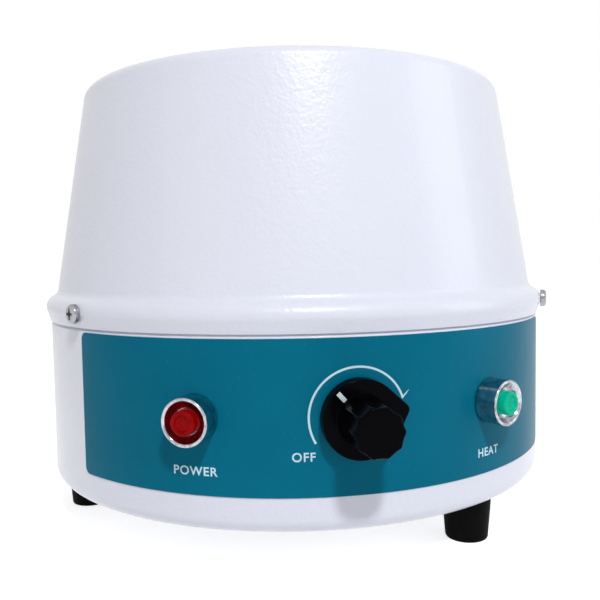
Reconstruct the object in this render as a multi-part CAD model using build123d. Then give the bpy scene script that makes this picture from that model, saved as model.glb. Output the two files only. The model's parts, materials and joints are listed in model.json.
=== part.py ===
"""Laboratory heating mantle for a one-litre round-bottom flask.

Millimetres, +Z up. The origin is on the body's axis, at the level that the feet stand on.
The control panel faces -Y. Angles round the body are measured in degrees from the front,
positive towards +X.
"""
import math
import os

from build123d import *

# ---------------------------------------------------------------- overall
base_radius = 120.0
foot_height = 18.0

# ---------------------------------------------------------------- base drum, a spun pan
base_sheet = 1.2
base_corner_radius = 6.0
base_wall_height = 72.6
step_radius = 0.4
neck_inset = 1.1
neck_step_height = 1.2
neck_height = 11.6
neck_corner_radius = 2.0
shield_flange_width = 12.0
vent_radius = 3.0
vent_circle_radius = 84.0
vents_per_sector = 5
vent_pitch_angle = 8.0

# ---------------------------------------------------------------- upper housing, a spun cone
housing_sheet = 1.2
housing_gap = 1.2
band_bottom_overhang = 0.4
bead_overhang = 3.2
bead_height = 9.2
bead_radius = 5.5
flare_height = 12.2
flare_radius = 4.0
cone_foot_inset = 3.1
cone_taper_angle = 9.3
shoulder_radius = 5.0
mouth_gap = 1.0
mouth_lip_depth = 10.0
mouth_edge_radius = 2.5

# ---------------------------------------------------------------- nest, element and insulation
flask_radius = 65.5
flask_slack = 1.5
nest_thickness = 4.0
nest_centre_depth = 13.0
wool_under_nest = 11.8
nest_rim_depth = 0.8
nest_mouth_clearance = 0.4
nest_collar_drop = 8.0
nest_rim_round = 1.5
element_wire_radius = 1.0
element_rows = 9
element_gap = 0.3
element_first_angle = 18.0
element_last_angle = 74.0
element_end_gap = 6.0
hoop_wire_radius = 1.1
wool_clearance = 0.3
wool_pocket_margin = 1.5
shield_sheet = 1.0
shield_inset = 3.5
shield_screw_inset = 7.0
lead_bush_radius = 4.0
lead_bush_spacing = 20.0
lead_bush_flange_width = 1.5
lead_bush_tail = 3.0
lead_bush_rise = 6.0

# ---------------------------------------------------------------- screws
m4_radius = 2.0
m4_head_radius = 4.0
m4_head_height = 2.6
m4_nut_flats = 7.0
m4_nut_height = 3.2
m4_hole_radius = 2.2
m3_radius = 1.5
m3_head_radius = 2.8
m3_head_height = 2.0
m3_nut_flats = 5.5
m3_nut_height = 2.4
m3_hole_radius = 1.7
screw_tail = 2.0
thread_clearance = 0.02
seat = 0.05
hole_clearance = 0.2
cut_reach = 6.0
housing_screw_angles = (-57.4, 62.6, 182.6)
housing_screw_rise = 5.95
housing_screw_length = 12.0
rivet_nut_flange_radius = 3.4
rivet_nut_flange_thickness = 0.45
rivet_nut_body_radius = 2.6
rivet_nut_length = 8.0
rivet_nut_bead_gap = 0.85

# ---------------------------------------------------------------- feet
foot_inset = 15.0
foot_angles = {"front_right": 32.0, "left": -88.0, "rear_right": 152.0}
foot_top_radius = 10.2
foot_bottom_radius = 8.8
foot_edge_radius = 1.2
foot_counterbore_radius = 5.0
foot_counterbore_depth = 8.0
washer_thickness = 0.8
washer_radius = 4.5

# ---------------------------------------------------------------- control panel
panel_thickness = 0.4
panel_foot_margin = 14.3
panel_top_margin = 0.4
panel_half_angle = 56.8
panel_corner_radius = 3.0

# ---------------------------------------------------------------- pilot lamps
lamp_angles = {"power": -28.7, "heat": 28.7}
bezel_radius = 9.0
bezel_depth = 9.3
bezel_rim_wall = 1.1
bezel_edge = 0.5
bezel_seat_width = 0.2
bezel_throat_height = 6.2
lamp_stem_radius = 6.0
lamp_stem_length = 13.0
lamp_stem_wall = 1.1
lamp_nut_wall = 1.0
lamp_nut_height = 3.0
lens_stem_length = 6.0
lens_button_step = 0.15
lens_dimple_radius = 3.1
lens_button_height = 10.6
lens_edge = 0.6
lamp_body_length = 11.0
terminal_width = 2.8
terminal_thickness = 0.5
terminal_length = 7.0
lamp_terminal_spacing = 5.0

# ---------------------------------------------------------------- heat regulator
regulator_width = 40.0
regulator_height = 44.0
regulator_depth = 28.0
regulator_plate = 1.5
regulator_gap = 0.3
regulator_corner_radius = 2.0
regulator_washer_radius = 8.4
bush_radius = 5.0
bush_reach = 4.2
regulator_nut_flats = 14.0
regulator_nut_height = 2.4
shaft_radius = 3.0
shaft_running_clearance = 0.08
shaft_well_clearance = 0.4
shaft_depth = 20.0
shaft_reach = 18.0
shaft_flat_depth = 0.5
shaft_flat_length = 11.0
regulator_terminal_spacing = 16.0

# ---------------------------------------------------------------- control knob
knob_back_gap = 1.0
skirt_radius = 14.6
skirt_bevel = 0.5
skirt_front = 6.2
nose_overhang = 3.0
nose_radius = 2.2
nose_angle = 11.0
grip_root_radius = 9.4
grip_front_radius = 8.9
grip_front = 26.5
grip_edge_radius = 1.0
knob_recess_clearance = 1.8
knob_recess_depth = 4.4
flute_count = 10
flute_radius = 12.0
flute_depth = 0.5
flute_start_gap = 1.2
pointer_angle = 132.0
pointer_width = 1.7
pointer_grip_gap = 0.2
pointer_rim_gap = 1.0
pointer_thickness = 0.5
set_screw_height = 12.0
set_screw_inset = 0.6
set_screw_socket_flats = 1.5

# ---------------------------------------------------------------- cable gland
gland_height = 50.0
gland_thread_radius = 8.0
gland_thread_length = 12.0
gland_flange_flats = 22.0
gland_flange_height = 5.5
gland_neck_radius = 7.4
gland_neck_length = 7.5
gland_bore_radius = 5.0
gland_seal_radius = 6.15
gland_seat_height = 4.0
gland_cap_flats = 20.0
gland_cap_length = 17.4
gland_dome_length = 7.0
gland_locknut_height = 5.0
gland_cap_gap = 0.4
gland_cable_gap = 0.6
cable_radius = 4.0

# ---------------------------------------------------------------- terminal block and earth
block_poles = 8
block_pitch = 8.0
block_end_width = 7.0
block_depth = 18.0
block_height = 16.0
block_centre_y = 62.0
insert_radius = 3.0
insert_bore_radius = 1.9
insert_inset = 0.5
grub_screw_length = 5.0
block_foot_thickness = 4.0
block_axis_share = 0.42
earth_position = (48.0, 62.0)
earth_screw_length = 14.0

# ---------------------------------------------------------------- internal wires
wire_radius = 1.0
wire_entry = 3.0
wire_end_gap = 0.2

# ---------------------------------------------------------------- places worked out from the sizes
floor_bottom = foot_height
floor_top = floor_bottom + base_sheet
block_top = floor_top + block_height
block_well_radius = m3_radius + 0.6
wall_top = floor_bottom + base_wall_height
neck_radius = base_radius - neck_inset
neck_top = wall_top + neck_height
band_bottom = wall_top + housing_gap
cone_slope = math.tan(math.radians(cone_taper_angle))
flare_foot_height = band_bottom + flare_height
shield_top = neck_top + shield_sheet
nest_inner_radius = flask_radius + flask_slack
nest_outer_radius = nest_inner_radius + nest_thickness
nest_centre_height = shield_top + wool_under_nest + nest_outer_radius
overall_height = nest_centre_height + nest_centre_depth
mouth_radius = nest_outer_radius + mouth_gap
element_radius = nest_outer_radius + element_gap + element_wire_radius
first_row_radius = element_radius * math.sin(math.radians(element_first_angle))
lead_bush_distance = math.sqrt(first_row_radius ** 2 - (lead_bush_spacing / 2) ** 2)
cone_foot_radius = base_radius - cone_foot_inset
cone_top_radius = cone_foot_radius - (overall_height - flare_foot_height) * cone_slope
housing_screw_height = band_bottom + housing_screw_rise
foot_circle_radius = base_radius - foot_inset
panel_face_radius = base_radius + panel_thickness
panel_bottom = floor_bottom + panel_foot_margin
panel_top = wall_top - panel_top_margin
control_height = (panel_bottom + panel_top) / 2
lamp_bore_radius = lamp_stem_radius - lamp_stem_wall
lamp_nut_flats = 2 * (lamp_stem_radius + lamp_nut_wall)
bezel_throat_radius = lamp_bore_radius + bezel_seat_width
lens_button_radius = lamp_bore_radius - seat - lens_button_step
knob_recess_radius = regulator_washer_radius + knob_recess_clearance
nose_reach = skirt_radius + nose_overhang
pointer_inner = grip_root_radius + pointer_grip_gap
pointer_outer = skirt_radius - pointer_rim_gap


# ---------------------------------------------------------------- helpers
def cone_radius(height, inset=0.0):
    """Radius of the housing's cone at a height, measured inset millimetres inside its skin."""
    skin = cone_foot_radius - (height - flare_foot_height) * cone_slope
    return skin - inset / math.cos(math.radians(cone_taper_angle))


def flat_seat(radius, half_width):
    """Distance from a tube's axis at which a flat of this half width fits inside its wall."""
    return math.sqrt(radius ** 2 - half_width ** 2)


def spun(*points):
    """Solid turned about the Z axis from a closed outline of (radius, height) points."""
    outline = make_face(Polyline(*points, close=True))
    return revolve(Plane.XZ * outline, Axis.Z)


def spun_sheet(points, radii, thickness):
    """Spun shell: its outer line through the points, its wall to the left of that line."""
    line = FilletPolyline(*points, radius=radii)
    section = make_face(offset(line, amount=thickness, side=Side.LEFT))
    return revolve(Plane.XZ * section, Axis.Z)


def outward(angle, height, distance):
    """Frame on the body's side: x to the right seen from outside, y up, z outwards."""
    turn = math.radians(angle)
    place = (distance * math.sin(turn), -distance * math.cos(turn), height)
    frame = Plane(origin=place, x_dir=(math.cos(turn), math.sin(turn), 0),
                  z_dir=(math.sin(turn), -math.cos(turn), 0))
    return frame.location


def round_the_body(angle, height, radius):
    """Upright frame at an angle and radius, x pointing outwards."""
    turn = math.radians(angle)
    return Location((radius * math.sin(turn), -radius * math.cos(turn), height), (0, 0, angle - 90))


def rod(radius, bottom, top):
    """Upright cylinder between two heights."""
    return Pos(0, 0, bottom) * Cylinder(radius, top - bottom, align=(Align.CENTER, Align.CENTER, Align.MIN))


def slab(width, depth, bottom, top):
    """Upright block, centred on the Z axis, between two heights."""
    return Pos(0, 0, bottom) * Box(width, depth, top - bottom, align=(Align.CENTER, Align.CENTER, Align.MIN))


def hexagon(flats, bottom, top):
    """Upright hexagonal bar, given across its flats."""
    outline = RegularPolygon(flats / 2, 6, major_radius=False)
    return Pos(0, 0, bottom) * extrude(outline, top - bottom)


def hex_nut(flats, height, bore):
    """Hexagon nut standing on z = 0, its outer corners turned off."""
    corner = flats / math.sqrt(3)
    turned = spun((0, 0), (corner - 0.4, 0), (corner, 0.4), (corner, height - 0.4), (corner - 0.4, height),
                  (0, height))
    return (hexagon(flats, 0, height) & turned) - rod(bore, -1, height + 1)


def washer(outer, inner, thickness):
    """Flat washer standing on z = 0."""
    return rod(outer, 0, thickness) - rod(inner, -1, thickness + 1)


def cross_recess(head_radius, top):
    """Tapered cross slot for a screwdriver, cut down from the head's top."""
    arm = head_radius * 1.15
    width = head_radius * 0.26
    depth = head_radius * 0.42
    bars = slab(arm, width, top - depth, top + 1) + slab(width, arm, top - depth, top + 1)
    waist = head_radius * 0.3
    return bars + spun((0, top - depth * 1.3), (waist, top - depth * 0.6), (waist, top), (0, top))


def pan_screw(shank_radius, head_radius, head_height, length):
    """Pan head screw: the head's underside on z = 0, the shank below it."""
    head = rod(head_radius, 0, head_height)
    crown = head.edges().filter_by(GeomType.CIRCLE).sort_by(Axis.Z)[-1]
    head = fillet(crown, head_height * 0.55) - cross_recess(head_radius, head_height)
    shank = rod(shank_radius, -length, 0)
    shank = chamfer(shank.edges().filter_by(GeomType.CIRCLE).sort_by(Axis.Z)[0], shank_radius * 0.25)
    return head + shank


def group(pieces):
    """Several like pieces kept as separate solids of one node."""
    return Compound(children=[solid for piece in pieces for solid in piece.solids()])


def tube_along(points):
    """Round wire through hand-chosen points, each corner as wide as its two runs allow."""
    spots = [Vector(*point) for point in points]
    radii = []
    for before, corner, after in zip(spots, spots[1:], spots[2:]):
        first, second = corner - before, after - corner
        half_turn = math.radians(first.get_angle(second)) / 2
        radii.append(0.45 * min(first.length, second.length) / math.tan(half_turn))
    line = FilletPolyline(*spots, radius=radii)
    start = Plane(origin=line @ 0, z_dir=line % 0)
    return sweep(start * Circle(wire_radius), path=line), radii


# ---------------------------------------------------------------- base
def base_drum():
    top = neck_top
    inner = neck_radius - shield_flange_width
    outer_line = [(0, floor_bottom), (base_radius, floor_bottom), (base_radius, wall_top),
                  (neck_radius, wall_top + neck_step_height), (neck_radius, top), (inner, top)]
    radii = [base_corner_radius, step_radius, step_radius, neck_corner_radius]
    drum = spun_sheet(outer_line, radii, base_sheet)
    for place, radius in floor_holes():
        drum -= place * rod(radius, floor_bottom - 1, floor_top + 1)
    for angle in shield_screw_angles():
        hole = rod(m3_hole_radius, top - base_sheet - 1, top + 1)
        drum -= round_the_body(angle, 0, shield_screw_circle()) * hole
    for angle in housing_screw_angles:
        drum -= outward(angle, housing_screw_height, neck_radius) * through_wall(rivet_nut_body_radius)
    drum -= control_holes()
    return drum - outward(180, gland_height, base_radius) * through_wall(gland_thread_radius + hole_clearance)


def floor_holes():
    """Place and radius of every hole in the drum's floor: feet, vents, terminal block and earth."""
    holes = [(round_the_body(angle, 0, foot_circle_radius), m4_hole_radius) for angle in foot_angles.values()]
    for sector in range(3):
        for step in range(vents_per_sector):
            angle = 120 * sector + 90 + (step - (vents_per_sector - 1) / 2) * vent_pitch_angle
            holes.append((round_the_body(angle, 0, vent_circle_radius), vent_radius))
    for side in (-1, 1):
        holes.append((Pos(side * block_screw_offset(), block_centre_y, 0), m3_hole_radius))
    holes.append((Pos(*earth_position, 0), m4_hole_radius))
    return holes


def through_wall(radius):
    """Cutter through a wall, along the frame's own z."""
    return rod(radius, -cut_reach, cut_reach)


def control_holes():
    """Cutters for the lamps and the regulator, through the drum's wall and the panel."""
    cutter = outward(0, control_height, base_radius) * through_wall(bush_radius + hole_clearance)
    for angle in lamp_angles.values():
        place = outward(angle, control_height, base_radius)
        cutter += place * through_wall(lamp_stem_radius + hole_clearance)
    return cutter


def foot():
    """Moulded rubber foot, standing on z = 0."""
    body = spun((0, 0), (foot_bottom_radius, 0), (foot_top_radius, foot_height), (0, foot_height))
    body = fillet(body.edges().filter_by(GeomType.CIRCLE).sort_by(Axis.Z)[0], foot_edge_radius)
    body -= rod(foot_counterbore_radius, -1, foot_counterbore_depth)
    return body - rod(m4_hole_radius, -1, foot_height + 1)


def foot_screw():
    """Pan head screw pointing up, its head seated in the foot's counterbore."""
    stack = foot_height - foot_counterbore_depth + base_sheet + washer_thickness + m4_nut_height
    screw = pan_screw(m4_radius, m4_head_radius, m4_head_height, stack + screw_tail)
    return Pos(0, 0, foot_counterbore_depth) * Rot(180, 0, 0) * screw


# ---------------------------------------------------------------- control panel
def control_panel_plate():
    """Thin curved plate with rounded corners, holed for the lamps and the regulator."""
    width = panel_face_radius - base_radius
    middle = Pos(base_radius + width / 2, (panel_bottom + panel_top) / 2)
    section = middle * Rectangle(width, panel_top - panel_bottom)
    plate = revolve(Plane.XZ * section, Axis.Z, revolution_arc=2 * panel_half_angle)
    plate = Rot(0, 0, -90 - panel_half_angle) * plate
    corners = [edge for edge in plate.edges() if abs(edge.length - width) < 0.01]
    plate = fillet(corners, panel_corner_radius)
    return plate - control_holes()


# ---------------------------------------------------------------- pilot lamps
def lamp_bezel():
    """Dished reflector bezel with a threaded stem, its back on the panel's face."""
    mouth = bezel_radius - bezel_rim_wall
    return spun((lamp_bore_radius, -lamp_stem_length), (lamp_stem_radius, -lamp_stem_length),
                (lamp_stem_radius, seat),
                (bezel_radius, seat), (bezel_radius, bezel_depth - bezel_edge),
                (bezel_radius - bezel_edge, bezel_depth), (mouth, bezel_depth),
                (bezel_throat_radius, bezel_throat_height), (lamp_bore_radius, bezel_throat_height))


def lamp_lens():
    """Button lens with a dimple, standing out of the dish, its stem in the bezel's bore."""
    stem = lamp_bore_radius - seat
    top = lens_button_height
    return spun((0, -lens_stem_length), (stem, -lens_stem_length), (stem, bezel_throat_height),
                (lens_button_radius, bezel_throat_height), (lens_button_radius, top - lens_edge),
                (lens_button_radius - lens_edge, top),
                (lens_dimple_radius, top), (lens_dimple_radius - lens_edge, top - 0.7), (0, top - 0.9))


def lamp_body():
    """Lamp holder that screws on behind the stem."""
    stem = lamp_bore_radius - seat
    back = -lamp_stem_length - lamp_body_length
    front = -lens_stem_length - seat
    stem_end = -lamp_stem_length - seat
    return spun((0, front), (stem, front), (stem, stem_end), (lamp_stem_radius, stem_end),
                (lamp_stem_radius, back + 1), (lamp_stem_radius - 1, back), (0, back))


def lamp_nut():
    corner = lamp_nut_flats / math.sqrt(3)
    back = flat_seat(base_radius - base_sheet, corner) - panel_face_radius - seat
    nut = hex_nut(lamp_nut_flats, lamp_nut_height, lamp_stem_radius + thread_clearance)
    return Pos(0, 0, back - lamp_nut_height) * nut


def lamp_terminals():
    back = -lamp_stem_length - lamp_body_length
    blade = slab(terminal_thickness, terminal_width, back - terminal_length, back)
    return group([Pos(side * lamp_terminal_spacing / 2, 0, 0) * blade for side in (-1, 1)])


# ---------------------------------------------------------------- heat regulator
def regulator_front():
    """Depth of the regulator's front plate behind the panel's face, as a negative height."""
    return flat_seat(base_radius - base_sheet, regulator_width / 2) - panel_face_radius - regulator_gap


def regulator_case():
    front = regulator_front() - regulator_plate
    case = slab(regulator_width - 1, regulator_height - 1, front - regulator_depth, front)
    case = fillet(case.edges().filter_by(Axis.Z), regulator_corner_radius)
    well = shaft_depth + shaft_well_clearance
    return case - rod(shaft_radius + shaft_well_clearance, front - well, front + 1)


def regulator_bush_plate():
    front = regulator_front()
    plate = slab(regulator_width, regulator_height, front - regulator_plate, front)
    bush = rod(bush_radius, front - 0.5, bush_reach)
    return plate + bush - rod(shaft_radius + shaft_running_clearance, front - 5, bush_reach + 1)


def regulator_washer():
    return Pos(0, 0, seat) * washer(regulator_washer_radius, bush_radius + 2 * seat, washer_thickness)


def regulator_nut():
    nut = hex_nut(regulator_nut_flats, regulator_nut_height, bush_radius + thread_clearance)
    return Pos(0, 0, 2 * seat + washer_thickness) * nut


def regulator_terminals():
    back = regulator_front() - regulator_plate - regulator_depth
    blade = slab(terminal_thickness, 2 * terminal_width, back - terminal_length, back)
    return group([Pos(side * regulator_terminal_spacing / 2, 0, 0) * blade for side in (-1, 1)])


def regulator_shaft():
    """Spindle with a flat for the knob's set screw."""
    back = regulator_front() - regulator_plate - shaft_depth
    shaft = rod(shaft_radius, back, shaft_reach)
    shaft = chamfer(shaft.edges().filter_by(GeomType.CIRCLE).sort_by(Axis.Z)[-1], 0.5)
    flat = Pos(shaft_radius - shaft_flat_depth, 0, shaft_reach - shaft_flat_length)
    flat_cut = flat * Box(4, 8, shaft_flat_length + 1, align=(Align.MIN, Align.CENTER, Align.MIN))
    return Rot(0, 0, pointer_angle + 180) * (shaft - flat_cut)


# ---------------------------------------------------------------- control knob
def skirt_outline():
    """Round skirt with one moulded index nose."""
    nose = Rot(0, 0, nose_angle) * Pos(nose_reach - nose_radius, 0) * Circle(nose_radius)
    return make_hull((Circle(skirt_radius) + nose).edges())


def control_knob():
    skirt = Pos(0, 0, knob_back_gap) * extrude(skirt_outline(), skirt_front - knob_back_gap)
    rim = skirt.faces().sort_by(Axis.Z)[-1].edges()
    skirt = chamfer(rim, skirt_bevel)
    grip = spun((0, skirt_front - 0.5), (grip_root_radius, skirt_front - 0.5), (grip_front_radius, grip_front),
                (0, grip_front))
    grip = fillet(grip.edges().filter_by(GeomType.CIRCLE).sort_by(Axis.Z)[-1], grip_edge_radius)
    for step in range(flute_count):
        turn = 360 / flute_count * (step + 0.5)
        place = Rot(0, 0, turn) * Pos(grip_front_radius - flute_depth + flute_radius, 0, 0)
        grip -= place * rod(flute_radius, skirt_front + flute_start_gap, grip_front + 1)
    knob = skirt + grip
    knob -= rod(knob_recess_radius, 0, knob_recess_depth)
    knob -= rod(shaft_radius + thread_clearance, 0, shaft_reach + 0.5)
    hole = Rot(0, 0, pointer_angle + 180) * Pos(0, 0, set_screw_height) * Rot(0, 90, 0) * rod(m3_radius, 0, 20)
    return knob - hole - pointer_slot()


def pointer_slot():
    """Block of the pointer line, sunk flush in the skirt's front."""
    length = pointer_outer - pointer_inner
    middle = (pointer_outer + pointer_inner) / 2
    block = Box(length, pointer_width, pointer_thickness, align=(Align.CENTER, Align.CENTER, Align.MAX))
    return Rot(0, 0, pointer_angle) * Pos(middle, 0, skirt_front) * block


def knob_set_screw():
    """Headless screw bearing on the spindle's flat."""
    start = shaft_radius - shaft_flat_depth
    end = grip_front_radius - flute_depth - set_screw_inset
    screw = rod(m3_radius - thread_clearance, start, end)
    screw -= hexagon(set_screw_socket_flats, end - set_screw_socket_flats, end + 1)
    return Rot(0, 0, pointer_angle + 180) * Pos(0, 0, set_screw_height) * Rot(0, 90, 0) * screw


# ---------------------------------------------------------------- upper housing
def upper_housing():
    outer_line = [(base_radius + band_bottom_overhang, band_bottom),
                  (base_radius + bead_overhang, band_bottom + bead_height),
                  (cone_foot_radius, flare_foot_height),
                  (cone_top_radius, overall_height),
                  (mouth_radius, overall_height),
                  (mouth_radius, overall_height - mouth_lip_depth)]
    radii = [bead_radius, flare_radius, shoulder_radius, mouth_edge_radius]
    housing = spun_sheet(outer_line, radii, housing_sheet)
    for angle in housing_screw_angles:
        housing -= outward(angle, housing_screw_height, base_radius) * through_wall(m4_hole_radius)
    return housing


def bead_reach():
    """Greatest radius of the rolled bead, just where the screws sit."""
    rise = math.atan2(bead_overhang - band_bottom_overhang, bead_height)
    fall = math.atan2(base_radius + bead_overhang - cone_foot_radius, flare_height - bead_height)
    cut = bead_radius * math.tan((rise + fall) / 2)
    touch = base_radius + bead_overhang - cut * math.sin(rise)
    return touch + bead_radius * (1 - math.cos(rise))


def housing_screw():
    return pan_screw(m4_radius, m4_head_radius, m4_head_height, housing_screw_length)


def rivet_nut():
    """Threaded insert gripped in the neck's wall, its flange filling the gap to the bead."""
    collar_top = bead_reach() - housing_sheet - rivet_nut_bead_gap - neck_radius
    bore = m4_radius + thread_clearance
    body, flange = rivet_nut_body_radius, rivet_nut_flange_radius
    return spun((bore, collar_top), (body, collar_top), (body, rivet_nut_flange_thickness),
                (flange, rivet_nut_flange_thickness), (flange, thread_clearance), (body, thread_clearance),
                (body, -rivet_nut_length), (bore, -rivet_nut_length))


# ---------------------------------------------------------------- nest, element, insulation
def heating_nest():
    """Knitted glass-fibre cup: a half sphere with an upright collar in the housing's mouth."""
    centre = nest_centre_height
    rim = overall_height - nest_rim_depth
    collar = mouth_radius - nest_mouth_clearance
    start_angle = math.degrees(math.asin(nest_collar_drop / nest_outer_radius))
    back = CenterArc((0, centre), nest_outer_radius, -90, 90 - start_angle)
    front = CenterArc((0, centre), nest_inner_radius, 0, -90)
    edge = nest_rim_round
    wall = Polyline(back @ 1, (collar, centre - nest_collar_drop), (collar, rim - edge), (collar - edge, rim),
                    (nest_inner_radius, rim), front @ 0)
    section = make_face([back, *wall.edges(), front, Line(front @ 1, back @ 0)])
    return revolve(Plane.XZ * section, Axis.Z)


def nest_hoop():
    """Wire hoop round the nest's neck, under the housing's lip."""
    height = overall_height - mouth_lip_depth - hoop_wire_radius - wool_clearance
    reach = mouth_radius + hoop_wire_radius + 2 * seat
    return Pos(0, 0, height) * Torus(reach, hoop_wire_radius)


def element_angle(row):
    """Angle of a row of the element, measured from straight down."""
    return element_first_angle + row * (element_last_angle - element_first_angle) / (element_rows - 1)


def on_element(angle, side):
    """End of a row at one side of the rear gap, on the element's sphere."""
    reach = element_radius * math.sin(math.radians(angle))
    turn = math.asin((element_end_gap + element_wire_radius) * side / reach)
    height = nest_centre_height - element_radius * math.cos(math.radians(angle))
    return Vector(reach * math.sin(turn), reach * math.cos(turn), height)


def heating_element():
    """Resistance wire in rows round the nest's back, stepping up by turns at each side."""
    wire = None
    for row in range(element_rows):
        angle = element_angle(row)
        reach = element_radius * math.sin(math.radians(angle))
        height = nest_centre_height - element_radius * math.cos(math.radians(angle))
        gap = math.degrees(math.asin(element_end_gap / reach))
        section = Plane.XZ * Pos(reach, height) * Circle(element_wire_radius)
        turn = Rot(0, 0, 90 + gap) * revolve(section, Axis.Z, revolution_arc=360 - 2 * gap)
        wire = turn if wire is None else wire + turn
        if row > 0:
            side = 1 if row % 2 else -1
            wire += straight_wire(on_element(element_angle(row - 1), side), on_element(angle, side))
    return wire


def straight_wire(start, end):
    """Short round wire between two points."""
    frame = Plane(origin=start, z_dir=end - start)
    return extrude(frame * Circle(element_wire_radius), (end - start).length)


def insulation_wool():
    """Packed wool between the nest and the housing, standing on the heat shield."""
    inset = housing_sheet + wool_clearance
    bottom = shield_top + wool_clearance
    top = overall_height - inset
    outline = [(0, bottom), (cone_radius(bottom, inset), bottom), (cone_radius(top, inset), top), (0, top)]
    wool = spun(*outline)
    wool = fillet(wool.edges().filter_by(GeomType.CIRCLE).sort_by(Axis.Z)[-1], shoulder_radius - housing_sheet)
    cavity = element_radius + element_wire_radius + wool_clearance
    neck = mouth_radius + 2 * hoop_wire_radius + 2 * seat + wool_clearance
    wool -= Pos(0, 0, nest_centre_height) * Sphere(cavity)
    wool -= rod(neck, nest_centre_height - 10, overall_height)
    for side in (-1, 1):
        passage = rod(lead_bush_radius + wool_clearance, bottom - 1, nest_centre_height - element_radius + 10)
        wool -= Pos(side * lead_bush_spacing / 2, lead_bush_distance, 0) * passage
    for angle in shield_screw_angles():
        place = round_the_body(angle, bottom - 1, shield_screw_circle())
        wool -= place * rod(m3_head_radius + wool_pocket_margin, 0, m3_head_height + wool_pocket_margin)
    return wool


def shield_screw_circle():
    return neck_radius - shield_screw_inset


def shield_screw_angles():
    return (0, 120, 240)


def heat_shield():
    """Flat disc that closes the drum and carries the wool."""
    shield = rod(neck_radius - shield_inset, neck_top, shield_top)
    for angle in shield_screw_angles():
        hole = rod(m3_hole_radius, neck_top - 1, shield_top + 1)
        shield -= round_the_body(angle, 0, shield_screw_circle()) * hole
    for side in (-1, 1):
        place = Pos(side * lead_bush_spacing / 2, lead_bush_distance, 0)
        shield -= place * rod(lead_bush_radius, neck_top - 1, shield_top + 1)
    return shield


def lead_bush():
    """Ceramic bush, flanged under the shield, that passes one element lead."""
    flange = lead_bush_radius + lead_bush_flange_width
    bore = wire_radius + hole_clearance
    sleeve = lead_bush_radius - seat
    outline = [(bore, -lead_bush_tail), (flange, -lead_bush_tail), (flange, -seat), (sleeve, -seat),
               (sleeve, lead_bush_rise), (bore, lead_bush_rise)]
    return Pos(0, 0, neck_top) * spun(*outline)


# ---------------------------------------------------------------- terminal block and earth
def block_screw_offset():
    return (block_poles * block_pitch + block_end_width) / 2


def pole_offsets():
    return [(pole - (block_poles - 1) / 2) * block_pitch for pole in range(block_poles)]


def block_axis_height():
    return floor_top + block_height * block_axis_share


def along_y(piece):
    """Turns an upright piece to lie along +Y."""
    return Rot(-90, 0, 0) * piece


def terminal_block():
    body = slab(block_poles * block_pitch + 2 * block_end_width, block_depth, floor_top, block_top)
    for side in (-1, 1):
        place = Pos(side * block_screw_offset(), 0, 0)
        body -= place * slab(block_end_width, block_depth + 1, floor_top + block_foot_thickness, block_top + 1)
        body -= place * rod(m3_hole_radius, floor_top - 1, block_top + 1)
    for x in pole_offsets():
        body -= Pos(x, 0, block_axis_height()) * along_y(rod(insert_radius + seat, -block_depth, block_depth))
        for side in (-1, 1):
            well = rod(block_well_radius, block_axis_height(), block_top + 1)
            body -= Pos(x, side * block_depth / 4, 0) * well
    return Pos(0, block_centre_y, 0) * body


def terminal_inserts():
    half = block_depth / 2 - insert_inset
    tube = along_y(rod(insert_radius, -half, half) - rod(insert_bore_radius, -half - 1, half + 1))
    for side in (-1, 1):
        tube -= Pos(0, side * block_depth / 4, 0) * rod(m3_radius, 0, insert_radius + 1)
    return group([Pos(x, block_centre_y, block_axis_height()) * tube for x in pole_offsets()])


def terminal_screws():
    """Grub screws that clamp each wire end in its insert."""
    top = 1.0 + grub_screw_length
    screw = rod(m3_radius - thread_clearance, 1.0, top) - slab(4, 0.6, top - 0.8, top + 1)
    places = [(x, block_centre_y + side * block_depth / 4) for x in pole_offsets() for side in (-1, 1)]
    return group([Pos(x, y, block_axis_height()) * screw for x, y in places])


def block_screws():
    length = block_foot_thickness + base_sheet + m3_nut_height + screw_tail
    screw = pan_screw(m3_radius, m3_head_radius, m3_head_height, length)
    height = floor_top + block_foot_thickness
    return group([Pos(side * block_screw_offset(), block_centre_y, height) * screw for side in (-1, 1)])


def block_nuts():
    nut = hex_nut(m3_nut_flats, m3_nut_height, m3_radius + thread_clearance)
    height = floor_bottom - m3_nut_height
    return group([Pos(side * block_screw_offset(), block_centre_y, height) * nut for side in (-1, 1)])


def earth_screw():
    screw = pan_screw(m4_radius, m4_head_radius, m4_head_height, earth_screw_length)
    return Pos(*earth_position, floor_bottom) * Rot(180, 0, 0) * screw


def earth_washer():
    return Pos(*earth_position, floor_top) * washer(washer_radius, m4_hole_radius, washer_thickness)


def earth_nut():
    nut = hex_nut(m4_nut_flats, m4_nut_height, m4_radius + thread_clearance)
    return Pos(*earth_position, floor_top + washer_thickness) * nut


# ---------------------------------------------------------------- cable gland
def gland_body():
    body = hexagon(gland_flange_flats, seat, gland_flange_height)
    body += rod(gland_thread_radius, -gland_thread_length, seat)
    body += rod(gland_neck_radius, gland_flange_height, gland_flange_height + gland_neck_length)
    body -= rod(gland_bore_radius, -gland_thread_length - 1, gland_seat_height + 1)
    return body - rod(gland_seal_radius + seat, gland_seat_height, gland_flange_height + gland_neck_length + 1)


def gland_seal():
    """Rubber sleeve that grips the cable."""
    bottom = gland_seat_height + seat
    top = gland_flange_height + gland_neck_length
    return spun((cable_radius, bottom), (gland_seal_radius, bottom), (gland_seal_radius, top),
                (gland_seal_radius - 0.8, top + 1.2), (cable_radius, top + 1.2))


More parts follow.
